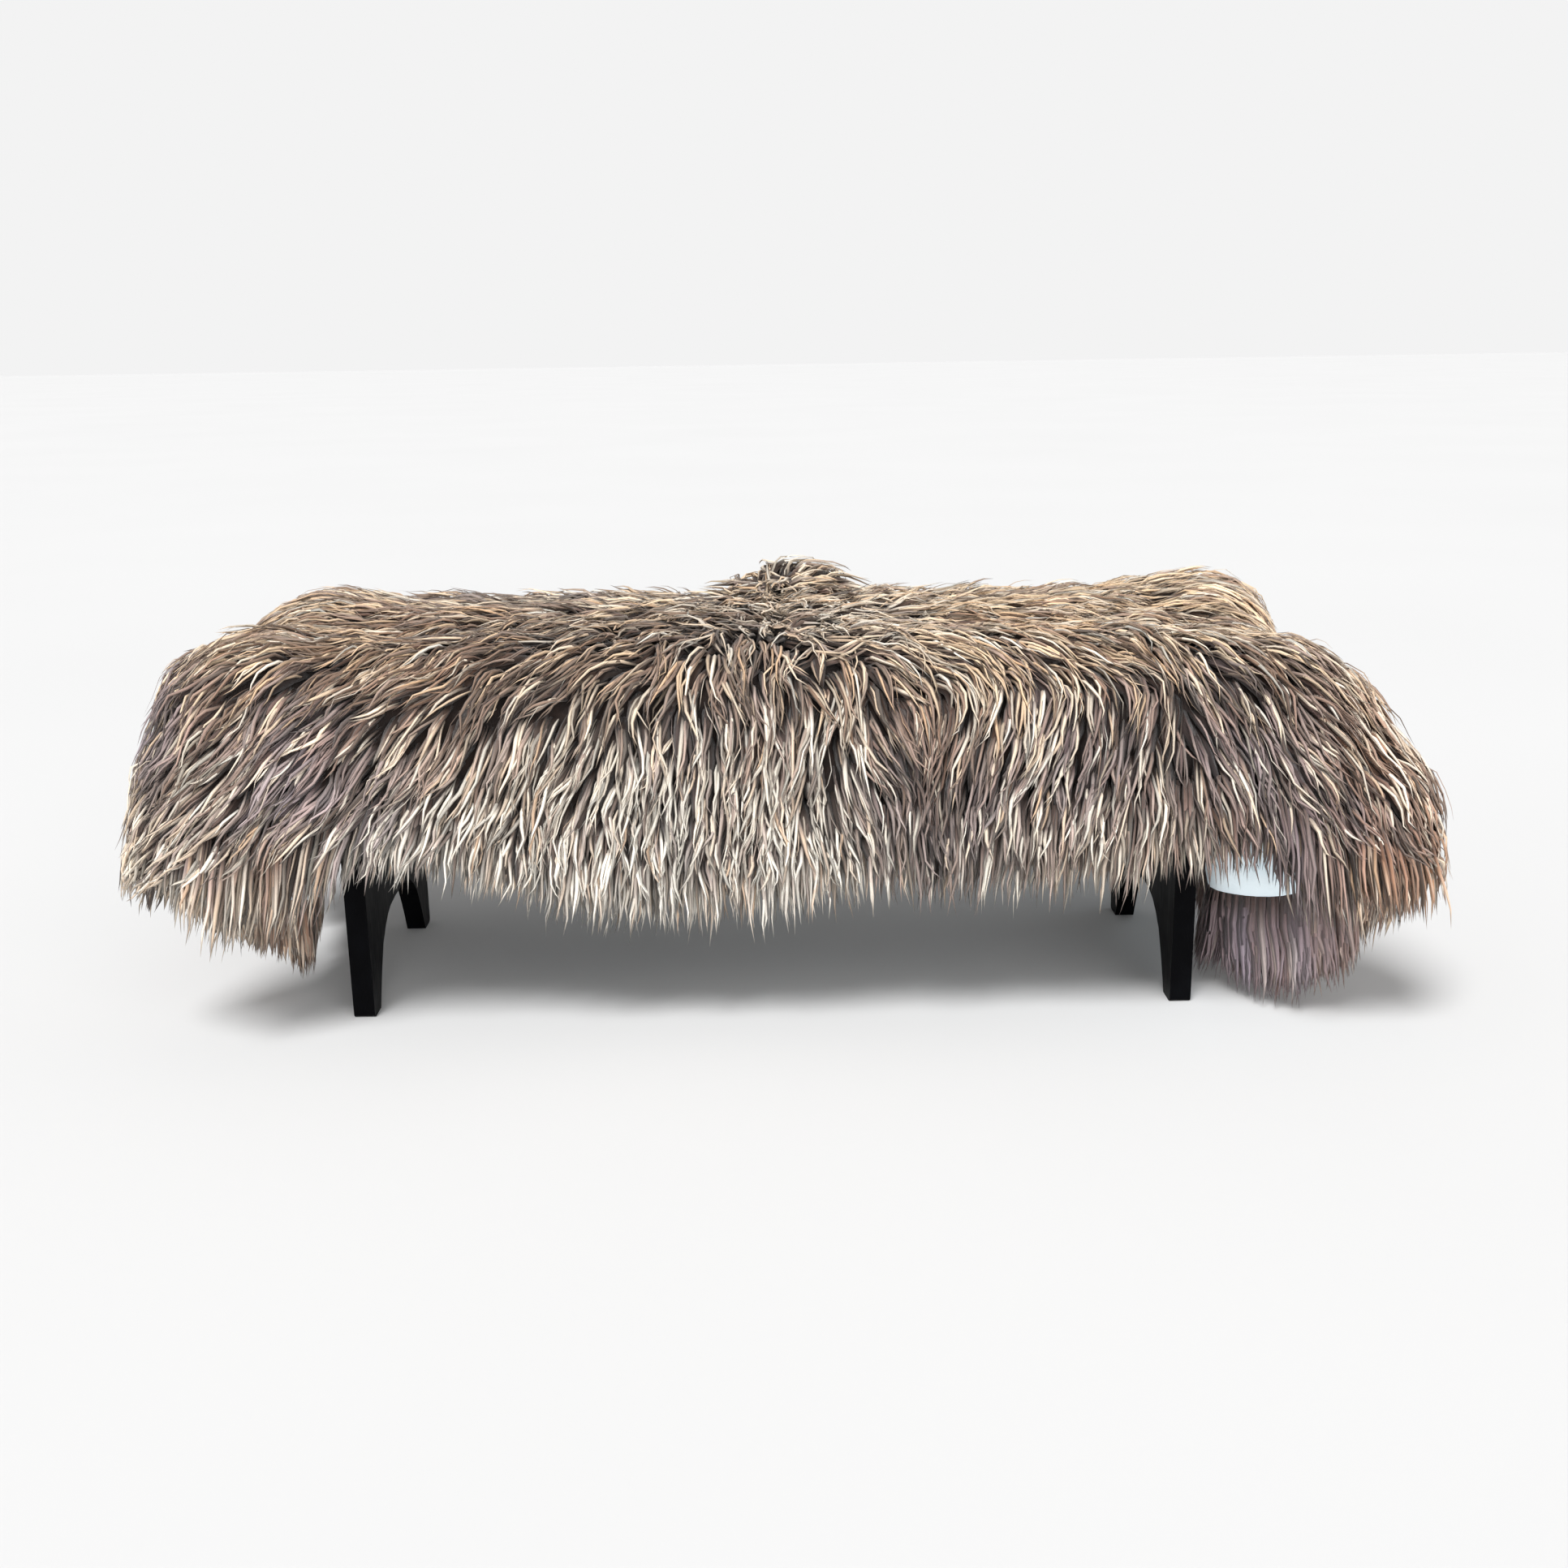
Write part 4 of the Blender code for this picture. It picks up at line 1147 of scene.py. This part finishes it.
# %% Rim curtain
CURTAIN_SPACE = 0.00115
CURTAIN_START = 0.022
SHORTEST = 0.03
COVER_X = {"left": ((0.20, 0.0), (0.32, -0.12), (0.44, -0.10), (0.50, 0.0), (0.56, 0.45), (0.68, 0.30),
                    (0.74, 0.0)),
           "right": ((0.08, 0.0), (0.16, 0.07), (0.30, 0.05), (0.37, 0.10), (0.43, 0.15), (0.50, 0.11),
                     (0.53, 0.14), (0.575, 0.12), (0.60, 0.02), (0.62, 0.05), (0.645, 0.42), (0.70, 0.36),
                     (0.76, 0.0))}
FLAP_BOTTOM = {"left": ((-0.30, 0.15), (-0.236, 0.150), (-0.20, 0.090), (-0.156, 0.044), (-0.09, 0.050),
                        (0.00, 0.070), (0.15, 0.080), (0.27, 0.14)),
               "right": ((-0.30, 0.10), (-0.250, 0.080), (-0.232, 0.042), (-0.214, 0.012), (-0.185, 0.000),
                         (-0.152, 0.014), (-0.088, 0.030), (0.00, 0.055), (0.15, 0.070), (0.27, 0.14))}
HORN_TRIM = {"left": ((0.60, 1.0), (0.66, 0.86), (0.72, 0.56), (0.76, 0.40), (0.80, 0.22)),
             "right": ((0.66, 1.0), (0.72, 0.98), (0.80, 0.90))}
FLAP_LEAN = {"left": -0.11, "right": 0.16}
FLAP_EVEN = {"left": 0.9, "right": 0.30}
REST_EVEN = 1.4
FLAP_TONE = {"left": 0.94, "right": 1.16}
FLAP_BULK = 1.35
FLAP_DENSE = 2.6
HORN_DENSE = 0.6


def on_end_flap(points):
    """Whether a point of the hem hangs at the end of the bench, between the two horns."""
    return (abs(points[:, 1]) < 0.24) & (points[:, 0] > 0.55)


def curtain(side_name):
    """Guides for the wool that hangs from the hem, and which of them hang on the end flap."""
    pelt = pelts[side_name]
    columns, side = pelt["columns"], pelt["side"]
    hem = pelt["hide"][:, -1]
    horn = (hem[:-1, 1] < -0.24) & (hem[:-1, 0] > 0.62)
    dense = np.where(on_end_flap(hem[:-1]), FLAP_DENSE, 1.0) + HORN_DENSE * horn
    walk = np.linalg.norm(np.diff(hem, axis=0), axis=1) * dense
    walk = np.concatenate(([0], np.cumsum(walk)))
    count = int(walk[-1] / CURTAIN_SPACE)
    spot = (np.arange(count) + rng.random(count)) / count
    place = np.interp(spot * walk[-1], walk, np.arange(len(walk)))
    low = np.minimum(place.astype(int), len(walk) - 2)
    part = (place - low)[:, None]

    def at(values):
        return values[low] * (1 - part) + values[low + 1] * part

    root = at(hem)
    normal = unit(at(pelt["normals"][:, -1]))
    deep = np.maximum(at(pelt["depth"][:, -1:])[:, 0] * rng.uniform(0.02, 1.0, count), 0.009)
    slope = unit(at(pelt["hide"][:, -1] - pelt["hide"][:, -3]))
    front = normal[:, 1] < -0.3
    cover = 1 + table(COVER_X[side_name], root[:, 0]) * front
    on_flap = on_end_flap(root)
    length = at(columns[:, 7:8])[:, 0] * rng.uniform(0.78, 1.10, count) * cover
    length = length * table(HORN_TRIM[side_name], root[:, 0])
    drop = (root[:, 2] - table(FLAP_BOTTOM[side_name], root[:, 1])) * rng.uniform(0.93, 1.07, count)
    length = np.where(on_flap, np.maximum(drop, SHORTEST), length)
    flare = at(columns[:, 8:9])[:, 0] * (deep / 0.05)
    spot = root + normal * deep[:, None] - slope * CURTAIN_START
    lean = np.where(front, table(FRONT_LEAN_X, side * root[:, 0]), 0.0) * 0.3
    steps = []
    for number in range(GUIDE_STEPS + 1):
        share = number / GUIDE_STEPS
        steps.append(spot)
        sag = smooth(0.0, 0.5, share)
        way = slope * (1 - sag) + DOWN * (0.3 + 0.7 * sag)
        way = way + normal * (flare * (1 - share))[:, None]
        way[:, 0] += lean * side
        way[:, 0] -= FLAP_LEAN[side_name] * on_flap * (abs(root[:, 1]) < 0.15)
        way[:, 1] -= 0.30 * on_flap * smooth(0.14, 0.20, -root[:, 1]) * (side > 0)
        way = way + swirl(spot, 0.05, 4.0) * 0.22
        spot = spot + unit(way) * ((length + CURTAIN_START) / GUIDE_STEPS)[:, None]
    path = placed(np.stack(steps, axis=1), side)
    turned = normal * (side, 1.0, 1.0)
    return (path, np.repeat(turned[:, None], GUIDE_STEPS + 1, axis=1)), on_flap


# The curtain's roots hang free of the hide, so they keep less of the painted root shade.
KINDS["curtain"] = dict(each=1.0, sections=6, sides=3, width=(0.004, 0.009), flat=0.6, spread=0.004,
                        lift=(-0.001, 0.001), wave=0.0030, span=(0.85, 1.0), start=(0.05, 0.50), reach=0.35,
                        tip=(0.60, 1.0), joined=0.2, root_shade_lifted=0.3, value=1.06,
                        profile=(0.60, 1.00, 1.00, 0.80, 0.46, 0.0))

for side_name in SIDES:
    guides[side_name], on_flap = curtain(side_name)
    bulk = np.where(on_flap, FLAP_BULK, 1.0)
    calm = np.where(on_flap, FLAP_EVEN[side_name], REST_EVEN)
    tone = np.where(on_flap, FLAP_TONE[side_name], 1.0)
    wool_pieces[side_name] += make_locks(side_name, "curtain", bulk=bulk, calm=calm, tone=tone)

# %% [markdown]
# ## Every piece in its place
# Each piece rides on the one body of the model. The hide and its wool replace the plain pelt, and
# the wool past the hem replaces the plain strips. The hide's area is measured on its folds.

# %% Ride and replace
RIM_NAMES = ("front", "front_horn", "front_horn_inner", "end", "back_horn_inner", "back_horn", "back")
for side_name in SIDES:
    hide = hides[side_name]
    wool_on_it = [bodies[side_name]] + wool_pieces[side_name]
    for piece in [hide] + wool_on_it:
        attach(piece, "root")
    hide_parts(f"pelt_{side_name}")
    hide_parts(*[f"rim_{side_name}_{name}" for name in RIM_NAMES])
    surface = pelts[side_name]["hide"]
    corners = np.cross(surface[1:, 1:] - surface[:-1, :-1], surface[:-1, 1:] - surface[1:, :-1])
    area = round(float(np.linalg.norm(corners, axis=2).sum() / 2), 3)

# %% [markdown]
# ## Studio
# The photograph was taken in a bright, even room and set on a pale ground. Three broad suns give its
# light: one from above and the left, a weaker one from the front and a low one that lights the hanging
# wool. The shadow below the bench is soft and drifts to the right. The camera sees an even pale
# backdrop, which doesn't light the bench.


# %% Floor and light
FLOOR_SIZE = 120.0


def ground():
    paint = Paint("ground", Roughness=0.9, Specular_IOR_Level=0.1)
    blotch = paint.cloud(paint.places(), 0.6, 2.0)
    paint.show("Base Color", paint.mix(blotch, srgb(218, 218, 218), srgb(222, 222, 222)))
    return paint.material


bpy.ops.object.select_all(action="DESELECT")
bpy.ops.mesh.primitive_plane_add(size=FLOOR_SIZE, location=(0.0, 0.0, 0.0))
floor = bpy.context.object
floor.name = "floor"
give(floor, ground())

BACKDROP = srgb(243, 243, 243)
DAYLIGHT = 0.37
world = bpy.data.worlds.new("studio")
bpy.context.scene.world = world
world.use_nodes = True
air = world.node_tree
room = air.nodes["Background"]
room.inputs["Color"].default_value = (1.0, 1.0, 1.0, 1.0)
room.inputs["Strength"].default_value = DAYLIGHT
backdrop = air.nodes.new("ShaderNodeBackground")
backdrop.inputs["Color"].default_value = BACKDROP
seen = air.nodes.new("ShaderNodeLightPath")
either = air.nodes.new("ShaderNodeMixShader")
air.links.new(seen.outputs["Is Camera Ray"], either.inputs[0])
air.links.new(room.outputs[0], either.inputs[1])
air.links.new(backdrop.outputs[0], either.inputs[2])
air.links.new(either.outputs[0], air.nodes["World Output"].inputs["Surface"])
bpy.context.scene.view_settings.view_transform = "Standard"


def soft_sun(name, place, spread, strength):
    """A broad even light that comes from a place towards the bench."""
    lamp = bpy.data.lights.new(name, "SUN")
    lamp.angle = math.radians(spread)
    lamp.energy = strength
    sun = bpy.data.objects.new(name, lamp)
    bpy.context.scene.collection.objects.link(sun)
    sun.rotation_euler = (-Vector(place)).to_track_quat("-Z", "Y").to_euler()


soft_sun("key", (-0.5, -1.2, 1.9), 22.0, 3.05)
soft_sun("fill", (0.6, -1.7, 0.8), 50.0, 1.00)
soft_sun("window", (0.3, -1.9, 0.22), 30.0, 0.75)
print("studio lit")
